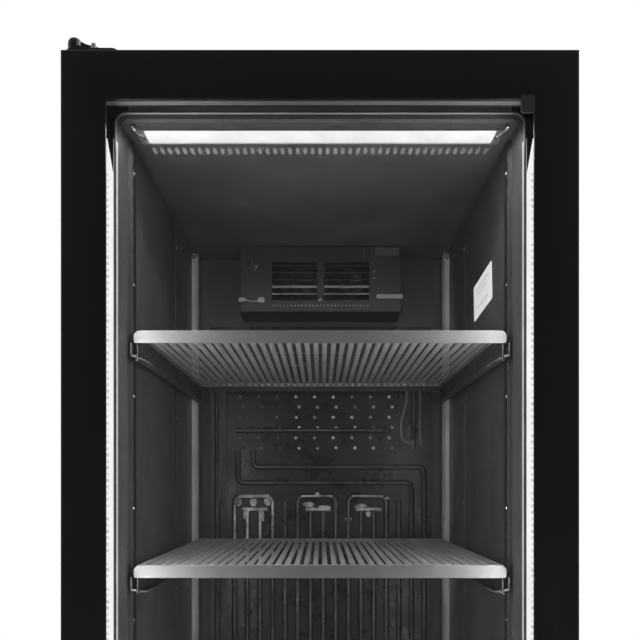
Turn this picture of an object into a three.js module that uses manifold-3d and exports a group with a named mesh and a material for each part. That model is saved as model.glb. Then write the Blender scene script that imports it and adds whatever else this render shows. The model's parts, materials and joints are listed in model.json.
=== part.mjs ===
// Single glass door merchandiser: an upright refrigerated display cabinet with a full-height hinged
// glass door, four slatted shelves on side rails, LED lamps, fan-assisted evaporator plate and a
// condensing unit in the base. Millimetres, +Z up, +X to the viewer's right, +Y to the back.
// The origin is at the centre of the footprint, on the floor.
// Depths are written as distances behind the door's front face and shifted to the origin by place().

import * as THREE from "three";
import { mergeVertices } from "three/addons/utils/BufferGeometryUtils.js";
import Module from "manifold-3d";

const wasm = await Module();
wasm.setup();

// ---------------------------------------------------------------- driving dimensions

const WIDTH = 686; // cabinet and door
const HALF = WIDTH / 2;
const BODY_TOP = 1970; // top of the cabinet and of the door
const CABINET_FACE = 58; // depth of the front of the face frame
const BODY_BACK = 692;
const HANDLE_REACH = 45; // how far the handle stands in front of the door
const MID_DEPTH = (BODY_BACK - HANDLE_REACH) / 2;
const GAP = 0.3; // between pieces that touch
const SHEET = 1.2; // outer sheet steel
const LINER = 1.5; // inner liner sheet

const BASE_Z = 60; // underside of the base tray
const TRAY = 2;
const DECK_Z = 268; // underside of the insulated box, top of the machine compartment
const FLOOR_Z = 320; // top of the interior floor
const CEILING_Z = 1920;
const INNER_HALF = 289; // interior half width
const LINER_BACK = 640; // depth of the interior's back wall
const OPENING_RADIUS = 16;
const SIDE_LAMP = { outer: 302.7, low: 358, high: 1884 };

const DOOR_BOTTOM = DECK_Z;
const DOOR_THICK = 45;
const LIP_THICK = 5; // front lip that the glass rests against
const STILE = 60;
const RAIL = 66;
const POCKET = 43; // from the door's edge to the glass pocket
const BACK_INSET = 45; // from the door's edge to the opening in its back
const BEAD_DEPTH = 30; // where the back bead starts
const PANE = 4;
const SPACER_EDGE = { side: 51, end: 63.3 }; // from the door's edges to the spacer's inside
const HINGE_INSET = 12; // hinge axis from the door's left edge
const HINGE_DEPTH = 22;
const PIN_RADIUS = 5;
const PIN_CLEARANCE = 0.1;
const PIN_LENGTH = 22;

const SHELF_TOP = 1626; // top of the highest shelf
const SHELF_PITCH = 351;
const SHELF_COUNT = 4;
const SHELF_FRONT = 111;
const SHELF_BACK = 611;
const SHELF_HALF = 274.5;
const LIP_HALF = 278.5;
const LIP_HEIGHT = 22;
const SHELF_DROP = 42.1; // how far the shelf's side flanges hang below its top
const SLAT_PITCH = 14.5;
const SLOT_WIDTH = 6.5;
const SLOT_COUNT = 37;

const PILASTER_INNER = 277; // inner face of a pilaster
const PILASTER_WIDTH = 20;
const PILASTER_FRONTS = { front: 119, rear: 589 };

const HOUSING_HALF = 177; // circulation fan housing
const HOUSING_FRONT = 555;
const HOUSING_BOTTOM = 1775;
const WINDOW = { inner: 7, outer: 107, low: 1802, high: 1885 };
const FAN_X = 57;
const FAN_Z = 1843.5;
const KNOB = { x: -148.5, z: 1875.5, radius: 14, reach: 14 };

const COIL = { left: -150, right: 110, low: 70, high: 250 };
const CONDENSER_FAN = { x: -20, z: 160, radius: 82 };
const COMPRESSOR = { x: -110, depth: 430 };
const FOOT = { x: 300, depths: { front: 95, rear: 655 }, stem: 6 };
const SIDES = { left: -1, right: 1 };

// ---------------------------------------------------------------- materials

const finish = (color, roughness, metalness) =>
  new THREE.MeshStandardMaterial({ color, roughness, metalness });

const MATERIALS = {
  blackSteel: finish(0x141414, 0.45, 0.3),
  doorBlack: finish(0x161616, 0.38, 0.3),
  liner: finish(0x3c3c3d, 0.4, 0.4),
  facePlastic: finish(0x1b1b1c, 0.5, 0),
  foam: finish(0xd8c48a, 0.95, 0),
  glass: finish(0xdfe8e8, 0.05, 0),
  spacer: finish(0x9a9b9d, 0.35, 0.9),
  gasket: finish(0x101010, 0.8, 0),
  handle: finish(0x121212, 0.4, 0.1),
  hinge: finish(0x2b2b2c, 0.45, 0.7),
  shelf: finish(0xb4b5b6, 0.4, 0.3),
  rail: finish(0x6f7072, 0.4, 0.7),
  pilaster: finish(0x97989a, 0.35, 0.8),
  evaporator: finish(0x2e2f30, 0.35, 0.5),
  darkPlastic: finish(0x232425, 0.5, 0),
  lampBody: finish(0x8f9092, 0.4, 0.8),
  lampLens: finish(0xfafbff, 0.3, 0),
  compressor: finish(0x0e0e0f, 0.35, 0.4),
  coil: finish(0xa7a9aa, 0.4, 0.9),
  zinc: finish(0x8c8e90, 0.45, 0.8),
  foot: finish(0x19191a, 0.6, 0.1),
};

// ---------------------------------------------------------------- geometry helpers

// A closed manifold solid from a three.js geometry.
function solid(geometry) {
  const bare = geometry.index ? geometry.toNonIndexed() : geometry.clone();
  bare.deleteAttribute("normal");
  bare.deleteAttribute("uv");
  const merged = mergeVertices(bare, 1e-4);
  return new wasm.Manifold(
    new wasm.Mesh({
      numProp: 3,
      vertProperties: merged.attributes.position.array,
      triVerts: new Uint32Array(merged.index.array),
    }),
  );
}

const join = (first, ...others) => others.reduce((whole, other) => whole.add(other), first);
const cut = (first, ...others) => others.reduce((rest, other) => rest.subtract(other), first);

function geometryOf(made) {
  const { numProp, numVert, vertProperties, triVerts } = made.getMesh();
  const positions = new Float32Array(numVert * 3);
  for (let i = 0; i < numVert; i++) {
    positions.set(vertProperties.subarray(i * numProp, i * numProp + 3), i * 3);
  }
  return new THREE.BufferGeometry()
    .setAttribute("position", new THREE.BufferAttribute(positions, 3))
    .setIndex(new THREE.BufferAttribute(triVerts, 1))
    .toNonIndexed();
}

// A box from its x, depth and z ranges.
function block([x0, x1], [d0, d1], [z0, z1]) {
  return solid(
    new THREE.BoxGeometry(x1 - x0, d1 - d0, z1 - z0).translate(
      (x0 + x1) / 2,
      (d0 + d1) / 2,
      (z0 + z1) / 2,
    ),
  );
}

// The same box on the left (side -1) or on the right (side 1), from ranges of distance from the middle.
const sideBlock = (side, [x0, x1], depths, heights) =>
  block(side < 0 ? [-x1, -x0] : [x0, x1], depths, heights);

// Extrudes a shape drawn in x and z through a depth range.
function plate(shape, [d0, d1], curveSegments = 6) {
  const geometry = new THREE.ExtrudeGeometry(shape, {
    depth: d1 - d0,
    bevelEnabled: false,
    curveSegments,
  });
  return solid(geometry.rotateX(Math.PI / 2).translate(0, d1, 0));
}

// Extrudes a shape drawn in depth and z through an x range.
function section(shape, [x0, x1], curveSegments = 6) {
  const geometry = new THREE.ExtrudeGeometry(shape, {
    depth: x1 - x0,
    bevelEnabled: false,
    curveSegments,
  });
  const turn = new THREE.Matrix4().makeBasis(
    new THREE.Vector3(0, 1, 0),
    new THREE.Vector3(0, 0, 1),
    new THREE.Vector3(1, 0, 0),
  );
  return solid(geometry.applyMatrix4(turn).translate(x0, 0, 0));
}

// Extrudes a shape drawn in x and depth through a height range.
function slab(shape, [z0, z1]) {
  const geometry = new THREE.ExtrudeGeometry(shape, { depth: z1 - z0, bevelEnabled: false });
  return solid(geometry.translate(0, 0, z0));
}

// A rectangle with rounded corners, as a shape or as a hole.
function roundedRectangle([x0, x1], [y0, y1], radius, Kind = THREE.Shape) {
  const outline = new Kind();
  outline.moveTo(x0 + radius, y0);
  outline.lineTo(x1 - radius, y0);
  outline.absarc(x1 - radius, y0 + radius, radius, -Math.PI / 2, 0, false);
  outline.lineTo(x1, y1 - radius);
  outline.absarc(x1 - radius, y1 - radius, radius, 0, Math.PI / 2, false);
  outline.lineTo(x0 + radius, y1);
  outline.absarc(x0 + radius, y1 - radius, radius, Math.PI / 2, Math.PI, false);
  outline.lineTo(x0, y0 + radius);
  outline.absarc(x0 + radius, y0 + radius, radius, Math.PI, 1.5 * Math.PI, false);
  return outline;
}

// A square-cornered ring in x and z: half widths and heights of its outside and inside.
function ring(outerHalf, [outerLow, outerHigh], innerHalf, [innerLow, innerHigh], depths) {
  const outside = block([-outerHalf, outerHalf], depths, [outerLow, outerHigh]);
  const inside = block(
    [-innerHalf, innerHalf],
    [depths[0] - 1, depths[1] + 1],
    [innerLow, innerHigh],
  );
  return cut(outside, inside);
}

// A cylinder along z, from its centre, radius and height range.
function upright(x, depth, radius, [z0, z1], segments = 16) {
  const geometry = new THREE.CylinderGeometry(radius, radius, z1 - z0, segments);
  return solid(geometry.rotateX(Math.PI / 2).translate(x, depth, (z0 + z1) / 2));
}

// A cylinder along the depth, from its centre, radius and depth range.
function barrel(x, z, radius, [d0, d1], segments = 20) {
  const geometry = new THREE.CylinderGeometry(radius, radius, d1 - d0, segments);
  return solid(geometry.translate(x, (d0 + d1) / 2, z));
}

// A turned solid from its [radius, z] profile, which starts and ends on the axis.
function turned(x, depth, profile, segments = 16) {
  const points = profile.map(([radius, z]) => new THREE.Vector2(radius, z));
  const geometry = new THREE.LatheGeometry(points, segments);
  return solid(geometry.rotateX(Math.PI / 2).translate(x, depth, 0));
}

// ---------------------------------------------------------------- assembly

const merchandiser = new THREE.Group();

function place(name, made, material) {
  const mesh = new THREE.Mesh(geometryOf(made), material);
  mesh.name = name;
  mesh.position.y = -MID_DEPTH;
  merchandiser.add(mesh);
}

// ---------------------------------------------------------------- insulated cabinet

const INNER_FACE_DEPTH = CABINET_FACE + 16; // where the liner and foam start, behind the face frame
const BOX_BACK = BODY_BACK - SHEET - GAP;
const SHELL_HALF = HALF - SHEET - GAP;

function cabinetPanels() {
  for (const [label, side] of Object.entries(SIDES)) {
    place(
      `side_panel_${label}`,
      sideBlock(side, [HALF - SHEET, HALF], [CABINET_FACE, BOX_BACK], [BASE_Z + TRAY + GAP, BODY_TOP]),
      MATERIALS.blackSteel,
    );
    place(
      `liner_${label}`,
      sideBlock(
        side,
        [INNER_HALF, INNER_HALF + LINER],
        [INNER_FACE_DEPTH, LINER_BACK + LINER],
        [FLOOR_Z - LINER, CEILING_Z + LINER],
      ),
      MATERIALS.liner,
    );
  }
  place(
    "top_panel",
    block([-SHELL_HALF, SHELL_HALF], [CABINET_FACE, BOX_BACK], [BODY_TOP - SHEET, BODY_TOP]),
    MATERIALS.blackSteel,
  );
  place(
    "rear_panel",
    block([-HALF, HALF], [BODY_BACK - SHEET, BODY_BACK], [DECK_Z, BODY_TOP]),
    MATERIALS.blackSteel,
  );
  place(
    "bottom_panel",
    block([-SHELL_HALF, SHELL_HALF], [CABINET_FACE, BOX_BACK], [DECK_Z, DECK_Z + SHEET]),
    MATERIALS.zinc,
  );
}

function linerEnds() {
  const across = [-INNER_HALF + GAP, INNER_HALF - GAP];
  place(
    "liner_ceiling",
    block(across, [INNER_FACE_DEPTH, LINER_BACK + LINER], [CEILING_Z, CEILING_Z + LINER]),
    MATERIALS.liner,
  );
  place(
    "liner_floor",
    block(across, [INNER_FACE_DEPTH, LINER_BACK + LINER], [FLOOR_Z - LINER, FLOOR_Z]),
    MATERIALS.liner,
  );
  place(
    "liner_back",
    block(across, [LINER_BACK, LINER_BACK + LINER], [FLOOR_Z + GAP, CEILING_Z - GAP]),
    MATERIALS.liner,
  );
}

function foamCore() {
  const outside = block(
    [-SHELL_HALF, SHELL_HALF],
    [INNER_FACE_DEPTH, BOX_BACK],
    [DECK_Z + SHEET + GAP, BODY_TOP - SHEET - GAP],
  );
  const clear = LINER + GAP;
  const cavity = block(
    [-INNER_HALF - clear, INNER_HALF + clear],
    [INNER_FACE_DEPTH - 1, LINER_BACK + clear],
    [FLOOR_Z - clear, CEILING_Z + clear],
  );
  place("foam_core", cut(outside, cavity), MATERIALS.foam);
}

// The thermal break round the opening, which the door's gasket seals against. Each upright has a
// recess along the opening for a side lamp.
function faceFrame() {
  const outline = new THREE.Shape();
  const low = DECK_Z + SHEET + GAP;
  const high = BODY_TOP - SHEET - GAP;
  outline.moveTo(-SHELL_HALF, low);
  outline.lineTo(SHELL_HALF, low);
  outline.lineTo(SHELL_HALF, high);
  outline.lineTo(-SHELL_HALF, high);
  outline.holes.push(
    roundedRectangle(
      [-INNER_HALF, INNER_HALF],
      [FLOOR_Z, CEILING_Z],
      OPENING_RADIUS,
      THREE.Path,
    ),
  );
  const recesses = Object.values(SIDES).map((side) =>
    sideBlock(
      side,
      [INNER_HALF - 1, SIDE_LAMP.outer],
      [CABINET_FACE - 1, INNER_FACE_DEPTH - 2],
      [SIDE_LAMP.low, SIDE_LAMP.high],
    ),
  );
  const made = cut(plate(outline, [CABINET_FACE, INNER_FACE_DEPTH - GAP]), ...recesses);
  place("face_frame", made, MATERIALS.facePlastic);
}

// ---------------------------------------------------------------- base and machine compartment

const footSpots = () =>
  Object.entries(FOOT.depths).flatMap(([row, depth]) =>
    Object.entries(SIDES).map(([label, side]) => ({ label: `${row}_${label}`, x: side * FOOT.x, depth })),
  );

function baseTray() {
  const floor = block([-HALF, HALF], [CABINET_FACE, BODY_BACK], [BASE_Z, BASE_Z + TRAY]);
  const upstands = Object.values(SIDES).map((side) =>
    sideBlock(side, [HALF - 3.5, HALF - 1.5], [CABINET_FACE + 4, BOX_BACK - 4], [BASE_Z, BASE_Z + 32]),
  );
  const holes = footSpots().map(({ x, depth }) =>
    upright(x, depth, FOOT.stem + 0.5, [BASE_Z - 1, BASE_Z + TRAY + 1]),
  );
  place("base_tray", cut(join(floor, ...upstands), ...holes), MATERIALS.zinc);
}

function levellingFeet() {
  for (const { label, x, depth } of footSpots()) {
    const pad = [
      [0, 0],
      [22, 0],
      [22, 5],
      [17, 12],
      [FOOT.stem, 14],
      [FOOT.stem, 90],
      [0, 90],
    ];
    const nut = upright(x, depth, 11, [30, 40], 6);
    place(`foot_${label}`, join(turned(x, depth, pad), nut), MATERIALS.foot);
  }
}

// A shallow cover with horizontal air slots, open at the back.
function frontGrille() {
  const front = 22;
  const wall = 3;
  const heights = [64, 260];
  const half = 341;
  const outside = block([-half, half], [front, CABINET_FACE - 0.5], heights);
  const hollow = block(
    [-half + wall, half - wall],
    [front + wall, CABINET_FACE + 1],
    [heights[0] + wall, heights[1] - wall],
  );
  const slots = Array.from({ length: 9 }, (_, i) => {
    const z = 86 + i * 18;
    return block([-270, 270], [front - 1, front + wall + 1], [z, z + 8]);
  });
  place("front_grille", cut(outside, hollow, ...slots), MATERIALS.blackSteel);
}

function rearGrille() {
  const cover = block([-338, 338], [BODY_BACK - SHEET, BODY_BACK], [66, 264]);
  const slots = Array.from({ length: 10 }, (_, i) => {
    const z = 80 + i * 17;
    return block([-290, 150], [BODY_BACK - 4, BODY_BACK + 1], [z, z + 9]);
  });
  const inletHole = block([204, 256], [BODY_BACK - 4, BODY_BACK + 1], [94, 126]);
  place("rear_grille", cut(cover, ...slots, inletHole), MATERIALS.blackSteel);
}

function powerInlet() {
  const body = block([206, 254], [670, BODY_BACK], [96, 124]);
  const socket = block([217, 243], [678, BODY_BACK + 1], [101, 119]);
  place("power_inlet", cut(body, socket), MATERIALS.darkPlastic);
}

function compressor() {
  const { x, depth } = COMPRESSOR;
  const base = BASE_Z + TRAY + GAP;
  const pot = [
    [0, base + 12],
    [62, base + 12],
    [70, base + 24],
    [74, base + 60],
    [74, base + 105],
    [66, base + 140],
    [46, base + 160],
    [0, base + 166],
  ];
  const mount = block([x - 105, x + 105], [depth - 55, depth + 55], [base + 10, base + 13]);
  const rubbers = [-85, 85].flatMap((dx) =>
    [-40, 40].map((dd) => upright(x + dx, depth + dd, 12, [base, base + 10.5], 12)),
  );
  const terminals = block([x + 68, x + 100], [depth - 28, depth + 28], [base + 60, base + 120]);
  const stub = upright(x - 40, depth, 6, [base + 150, base + 178], 10);
  place(
    "compressor",
    join(turned(x, depth, pot, 24), mount, terminals, stub, ...rubbers),
    MATERIALS.compressor,
  );
}

// The fin pack, its end plates and the return bends that stand out of them.
function condenserCoil() {
  const { left, right, low, high } = COIL;
  const fins = block([left + 12, right - 12], [78, 130], [low + 4, high - 4]);
  const ends = [left + 10, right - 12].map((x) => block([x, x + 2], [72, 136], [low, high]));
  const bends = [0, 1, 2, 3].flatMap((i) =>
    [left + 1, right - 10.5].map((x) => {
      const z = low + 30 + i * 40;
      return block([x, x + 9.5], [98, 108], [z - 8, z + 22]);
    }),
  );
  const feet = block([left + 10, right - 10], [96, 110], [BASE_Z + TRAY + GAP, low + 6]);
  place("condenser_coil", join(fins, ...ends, ...bends, feet), MATERIALS.coil);
}

// The sheet that guides air through the coil, with the motor held behind it on three arms.
function condenserFanShroud() {
  const { x, z, radius } = CONDENSER_FAN;
  const { left, right, low, high } = COIL;
  const sheet = block([left, right], [140, 143], [BASE_Z + TRAY + GAP, high]);
  const mouth = barrel(x, z, radius + 6, [139, 144], 32);
  const motor = barrel(x, z, 27, [190, 232]);
  const arms = [90, 210, 330].map((degrees) => {
    const angle = THREE.MathUtils.degToRad(degrees);
    const reach = join(
      block([20, 96], [196, 201], [-6, 6]),
      block([91, 96], [142.5, 201], [-6, 6]),
    );
    const turnedArm = reach.rotate([0, -THREE.MathUtils.radToDeg(angle), 0]);
    return turnedArm.translate([x, 0, z]);
  });
  const limit = block([left, right], [139, 240], [low - 6, high]);
  const made = join(cut(sheet, mouth), motor, ...arms);
  place("condenser_fan_shroud", made.intersect(limit.add(motor)), MATERIALS.zinc);
}

function condensatePan() {
  const outside = block([-190, 190], [565, 668], [BASE_Z + TRAY + GAP, 104]);
  const inside = block([-188, 188], [567, 666], [BASE_Z + TRAY + 2.3, 105]);
  place("condensate_pan", cut(outside, inside), MATERIALS.darkPlastic);
}

// ---------------------------------------------------------------- fans

// An axial fan along the depth: a hub, its shaft, and pitched blades.
function fanBlades({ x, z, radius, hub, blades, depths, shaftEnd, pitch }) {
  const [d0, d1] = depths;
  const middle = (d0 + d1) / 2;
  const pieces = [barrel(x, z, hub, depths, 16), barrel(x, z, 3, [d1 - 1, shaftEnd], 8)];
  for (let i = 0; i < blades; i++) {
    const blade = block([-radius * 0.3, radius * 0.3], [-1, 1], [hub * 0.7, radius])
      .rotate([0, 0, pitch])
      .rotate([0, (360 * i) / blades, 0])
      .translate([x, middle, z]);
    pieces.push(blade);
  }
  const envelope = barrel(x, z, radius, [d0 - 4, shaftEnd + 1], 28);
  return join(...pieces).intersect(envelope);
}

function condenserFan() {
  const { x, z, radius } = CONDENSER_FAN;
  const made = fanBlades({
    x,
    z,
    radius,
    hub: 20,
    blades: 5,
    depths: [152, 178],
    shaftEnd: 189.5,
    pitch: 24,
  });
  place("condenser_fan_blades", made, MATERIALS.zinc);
}

// Two small fans sit behind the windows of one housing under the ceiling.
function circulationFans() {
  for (const [label, side] of Object.entries(SIDES)) {
    const x = side * FAN_X;
    const made = fanBlades({
      x,
      z: FAN_Z,
      radius: 40,
      hub: 13,
      blades: 5,
      depths: [574, 592],
      shaftEnd: 599.5,
      pitch: 26,
    });
    place(`fan_blades_${label}`, made, MATERIALS.darkPlastic);
    const motor = join(
      barrel(x, FAN_Z, 19, [600, 628]),
      block([x - 45, x + 45], [622, 626], [FAN_Z - 5, FAN_Z + 5]),
      block([x - 5, x + 5], [622, 626], [FAN_Z - 45, FAN_Z + 45]),
    );
    place(`fan_motor_${label}`, motor, MATERIALS.darkPlastic);
  }
}

function fanHousing() {
  const wall = 2.5;
  const top = CEILING_Z - GAP;
  const outside = block(
    [-HOUSING_HALF, HOUSING_HALF],
    [HOUSING_FRONT, LINER_BACK - GAP],
    [HOUSING_BOTTOM, top],
  );
  const hollow = block(
    [-HOUSING_HALF + wall, HOUSING_HALF - wall],
    [HOUSING_FRONT + wall, LINER_BACK + 1],
    [HOUSING_BOTTOM + wall, top - wall],
  );
  const slats = 4;
  const pitch = (WINDOW.high - WINDOW.low) / (slats + 1);
  const slots = Object.values(SIDES).flatMap((side) =>
    Array.from({ length: slats + 1 }, (_, i) => {
      const z = WINDOW.low + i * pitch;
      return sideBlock(
        side,
        [WINDOW.inner, WINDOW.outer],
        [HOUSING_FRONT - 1, HOUSING_FRONT + wall + 1],
        [z, z + pitch - 3.5],
      );
    }),
  );
  place("fan_housing", cut(outside, hollow, ...slots), MATERIALS.darkPlastic);
}

function thermostatKnob() {
  const { x, z, radius, reach } = KNOB;
  const back = HOUSING_FRONT - GAP;
  const dial = barrel(x, z, radius, [back - 5, back], 24);
  const grip = block([x - 3, x + 3], [back - reach, back - 4], [z - radius + 1, z + radius - 1]);
  place("thermostat_knob", join(dial, grip), MATERIALS.darkPlastic);
}

// The evaporator is a plate with raised refrigerant channels, held off the back wall by four studs.
function evaporatorPlate() {
  const face = 629;
  const back = 631;
  const sheet = block([-256, 256], [face, back], [345, 1762]);
  const studs = [-230, 230].flatMap((x) => [390, 1715].map((z) => barrel(x, z, 8, [back - 1, LINER_BACK - GAP], 8)));
  const channel = 9;
  const rise = [face - 2.5, face + 1];
  const runs = Array.from({ length: 14 }, (_, i) => {
    const x = -195.5 + i * 30;
    return block([x, x + channel], rise, [400, 1372]);
  });
  const headers = [
    block([-195.5, 203.5], rise, [391, 400.5]),
    block([-195.5, 203.5], rise, [1371.5, 1380]),
    block([-215, 215], rise, [1440, 1449]),
    block([-215, -206], rise, [1440, 1700]),
    block([206, 215], rise, [1440, 1700]),
    block([-215, 215], rise, [1691, 1700]),
    block([-4.5, 4.5], rise, [1379, 1441]),
  ];
  place("evaporator_plate", join(sheet, ...studs, ...runs, ...headers), MATERIALS.evaporator);
}

// ---------------------------------------------------------------- pilasters, rails and shelves

function pilasters() {
  const wall = 1.5;
  const heights = [335, CEILING_Z - 4];
  for (const [row, front] of Object.entries(PILASTER_FRONTS)) {
    for (const [label, side] of Object.entries(SIDES)) {
      const depths = [front, front + PILASTER_WIDTH];
      const outside = sideBlock(side, [PILASTER_INNER, INNER_HALF - GAP], depths, heights);
      const channel = sideBlock(
        side,
        [PILASTER_INNER + wall, INNER_HALF + 1],
        [depths[0] + wall, depths[1] - wall],
        [heights[0] - 1, heights[1] + 1],
      );
      place(`pilaster_${row}_${label}`, cut(outside, channel), MATERIALS.pilaster);
    }
  }
}

// An L-shaped rail runs between the front and rear pilasters and carries one side of a shelf. Its
// foot is cut off at a slant in front, where a hooked tab laps round the pilaster's face.
function shelfRail(side, top) {
  const outer = PILASTER_INNER - GAP;
  const sheet = 1.6;
  const foot = 13;
  const [front, slant, back] = [116, 166, 609];
  const low = top - SHELF_DROP - GAP - sheet;

  const profile = new THREE.Shape();
  profile.moveTo(front, low);
  profile.lineTo(back, low);
  profile.lineTo(back, low + 34);
  profile.lineTo(front + 14, low + 34);
  profile.lineTo(front, low + 20);
  const webRange = [outer - sheet, outer];
  const web = section(profile, side < 0 ? [-webRange[1], -webRange[0]] : webRange);

  const plan = new THREE.Shape();
  plan.moveTo(side * outer, front);
  plan.lineTo(side * (outer - 3), front);
  plan.lineTo(side * (outer - foot), slant);
  plan.lineTo(side * (outer - foot), back);
  plan.lineTo(side * outer, back);
  const flange = slab(plan, [low, low + sheet]);

  const tabDepths = [front - 3, front + 2];
  const tab = sideBlock(side, [outer - sheet, outer + 7], tabDepths, [low, low + sheet]);
  const hook = sideBlock(side, [outer + 7 - sheet, outer + 7], tabDepths, [low, low + 21]);
  return join(web, flange, tab, hook);
}

function shelf(top) {
  const deck = block([-SHELF_HALF, SHELF_HALF], [SHELF_FRONT + 2, SHELF_BACK], [top - 6, top]);
  const slots = Array.from({ length: SLOT_COUNT }, (_, i) => {
    const x = (i - (SLOT_COUNT - 1) / 2) * SLAT_PITCH;
    return block(
      [x - SLOT_WIDTH / 2, x + SLOT_WIDTH / 2],
      [SHELF_FRONT + 13, SHELF_BACK - 15],
      [top - 7, top + 1],
    );
  });
  const sides = Object.values(SIDES).map((side) =>
    sideBlock(side, [SHELF_HALF - 2, SHELF_HALF], [SHELF_FRONT + 5, SHELF_BACK], [top - SHELF_DROP, top]),
  );
  const lip = plate(
    roundedRectangle([-LIP_HALF, LIP_HALF], [top - LIP_HEIGHT, top], 6),
    [SHELF_FRONT, SHELF_FRONT + 3],
    3,
  );
  const rear = block([-SHELF_HALF, SHELF_HALF], [SHELF_BACK - 2, SHELF_BACK], [top - 16, top]);
  return join(cut(deck, ...slots), ...sides, lip, rear);
}

function shelves() {
  for (let i = 0; i < SHELF_COUNT; i++) {
    const top = SHELF_TOP - i * SHELF_PITCH;
    place(`shelf_${i + 1}`, shelf(top), MATERIALS.shelf);
    for (const [label, side] of Object.entries(SIDES)) {
      place(`shelf_rail_${label}_${i + 1}`, shelfRail(side, top), MATERIALS.rail);
    }
  }
}

// ---------------------------------------------------------------- lamps

const LAMP = { front: 87, back: 121, lensHalf: 262, capHalf: 268, face: 1911 };

// A flat lens faces down from a shallow channel across the front of the ceiling.
function topLamp() {
  const { front, back, lensHalf, capHalf, face } = LAMP;
  const lens = block([-lensHalf, lensHalf], [front, back], [face, face + 4]);
  place("top_lamp_lens", lens, MATERIALS.lampLens);

  const sides = [front - 2, back + 2];
  const outside = block([-capHalf, capHalf], sides, [face - 1, CEILING_Z - GAP]);
  const seat = block(
    [-lensHalf - GAP, lensHalf + GAP],
    [front - GAP, back + GAP],
    [face - 2, face + 4 + GAP],
  );
  place("top_lamp_housing", cut(outside, seat), MATERIALS.lampBody);
}

// A lamp bar fills the recess in each upright of the face frame.
function sideLamps() {
  for (const [label, side] of Object.entries(SIDES)) {
    const bar = sideBlock(
      side,
      [INNER_HALF, SIDE_LAMP.outer - GAP],
      [CABINET_FACE + GAP, INNER_FACE_DEPTH - 2 - GAP],
      [SIDE_LAMP.low + GAP, SIDE_LAMP.high - GAP],
    );
    place(`side_lamp_${label}`, bar, MATERIALS.lampLens);
  }
}

// ---------------------------------------------------------------- door and hinges

const DOOR_EDGE = { low: DOOR_BOTTOM, high: BODY_TOP };
const hingeX = -HALF + HINGE_INSET;

function doorFrame() {
  const { low, high } = DOOR_EDGE;
  const lip = ring(HALF, [low, high], HALF - STILE, [low + RAIL, high - RAIL], [0, LIP_THICK]);
  const pocket = ring(
    HALF,
    [low, high],
    HALF - POCKET,
    [low + POCKET, high - POCKET],
    [LIP_THICK, BEAD_DEPTH],
  );
  const bead = ring(
    HALF,
    [low, high],
    HALF - BACK_INSET,
    [low + BACK_INSET, high - BACK_INSET],
    [BEAD_DEPTH, DOOR_THICK],
  );
  const bore = PIN_RADIUS + PIN_CLEARANCE;
  const bores = [
    [low - 1, low + PIN_LENGTH + 4],
    [high - PIN_LENGTH - 4, high + 1],
  ].map((heights) => upright(hingeX, HINGE_DEPTH, bore, heights, 24));
  place("door_frame", cut(join(lip, pocket, bead), ...bores), MATERIALS.doorBlack);
}

// Two panes and the spacer bar between them.
function glassUnit() {
  const half = HALF - POCKET - 0.5;
  const heights = [DOOR_EDGE.low + POCKET + 0.5, DOOR_EDGE.high - POCKET - 0.5];
  const outer = LIP_THICK + GAP;
  const inner = BEAD_DEPTH - PANE - GAP - 1;
  place("outer_glass", block([-half, half], [outer, outer + PANE], heights), MATERIALS.glass);
  place("inner_glass", block([-half, half], [inner, inner + PANE], heights), MATERIALS.glass);
  const spacer = ring(
    half - 1,
    [heights[0] + 1, heights[1] - 1],
    HALF - SPACER_EDGE.side,
    [DOOR_EDGE.low + SPACER_EDGE.end, DOOR_EDGE.high - SPACER_EDGE.end],
    [outer + PANE + GAP, inner - GAP],
  );
  place("glass_spacer", spacer, MATERIALS.spacer);
}

function doorGasket() {
  const { low, high } = DOOR_EDGE;
  const made = ring(
    HALF - 10,
    [low + 10, high - 10],
    HALF - 40,
    [low + 40, high - 40],
    [DOOR_THICK + GAP, CABINET_FACE - GAP],
  );
  place("door_gasket", made, MATERIALS.gasket);
}

// A straight bar on two posts, on the opening side.
function doorHandle() {
  const across = [302, 324];
  const bar = section(
    roundedRectangle([-HANDLE_REACH, -HANDLE_REACH + 15], [860, 1160], 6),
    across,
    4,
  );
  const posts = [880, 1112].map((z) =>
    block([across[0] + 3, across[1] - 3], [-HANDLE_REACH + 8, -GAP], [z, z + 28]),
  );
  place("door_handle", join(bar, ...posts), MATERIALS.handle);
}

// A plate on the cabinet's top carries a boss, a sloping rib and the pin that enters the door.
function topHinge() {
  const plateZ = [BODY_TOP + 3, BODY_TOP + 7];
  const arm = block([-HALF + 1, -270], [8, 150], plateZ);
  const pad = block([-HALF + 1, -270], [66, 150], [BODY_TOP + GAP, BODY_TOP + 4]);
  const bossTop = BODY_TOP + 28;
  const boss = turned(hingeX, HINGE_DEPTH, [
    [0, BODY_TOP + 6],
    [9.4, BODY_TOP + 6],
    [9.4, bossTop - 6],
    [6.5, bossTop - 1.5],
    [3, bossTop],
    [0, bossTop],
  ]);
  const rib = new THREE.Shape();
  rib.moveTo(hingeX, BODY_TOP + 6);
  rib.lineTo(hingeX, bossTop - 3);
  rib.lineTo(hingeX + 25, BODY_TOP + 17);
  rib.lineTo(hingeX + 38, BODY_TOP + 13);
  rib.lineTo(hingeX + 46, BODY_TOP + 6);
  const pin = upright(hingeX, HINGE_DEPTH, PIN_RADIUS, [BODY_TOP - PIN_LENGTH, BODY_TOP + 4], 24);
  const screws = [85, 108, 131].map((depth) => upright(-300, depth, 6, [BODY_TOP + 6, BODY_TOP + 10], 6));
  screws.push(upright(hingeX + 26, HINGE_DEPTH, 5, [BODY_TOP + 6, BODY_TOP + 19.5], 12));
  place(
    "top_hinge",
    join(arm, pad, boss, plate(rib, [HINGE_DEPTH - 3, HINGE_DEPTH + 3]), pin, ...screws),
    MATERIALS.hinge,
  );
}

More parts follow.
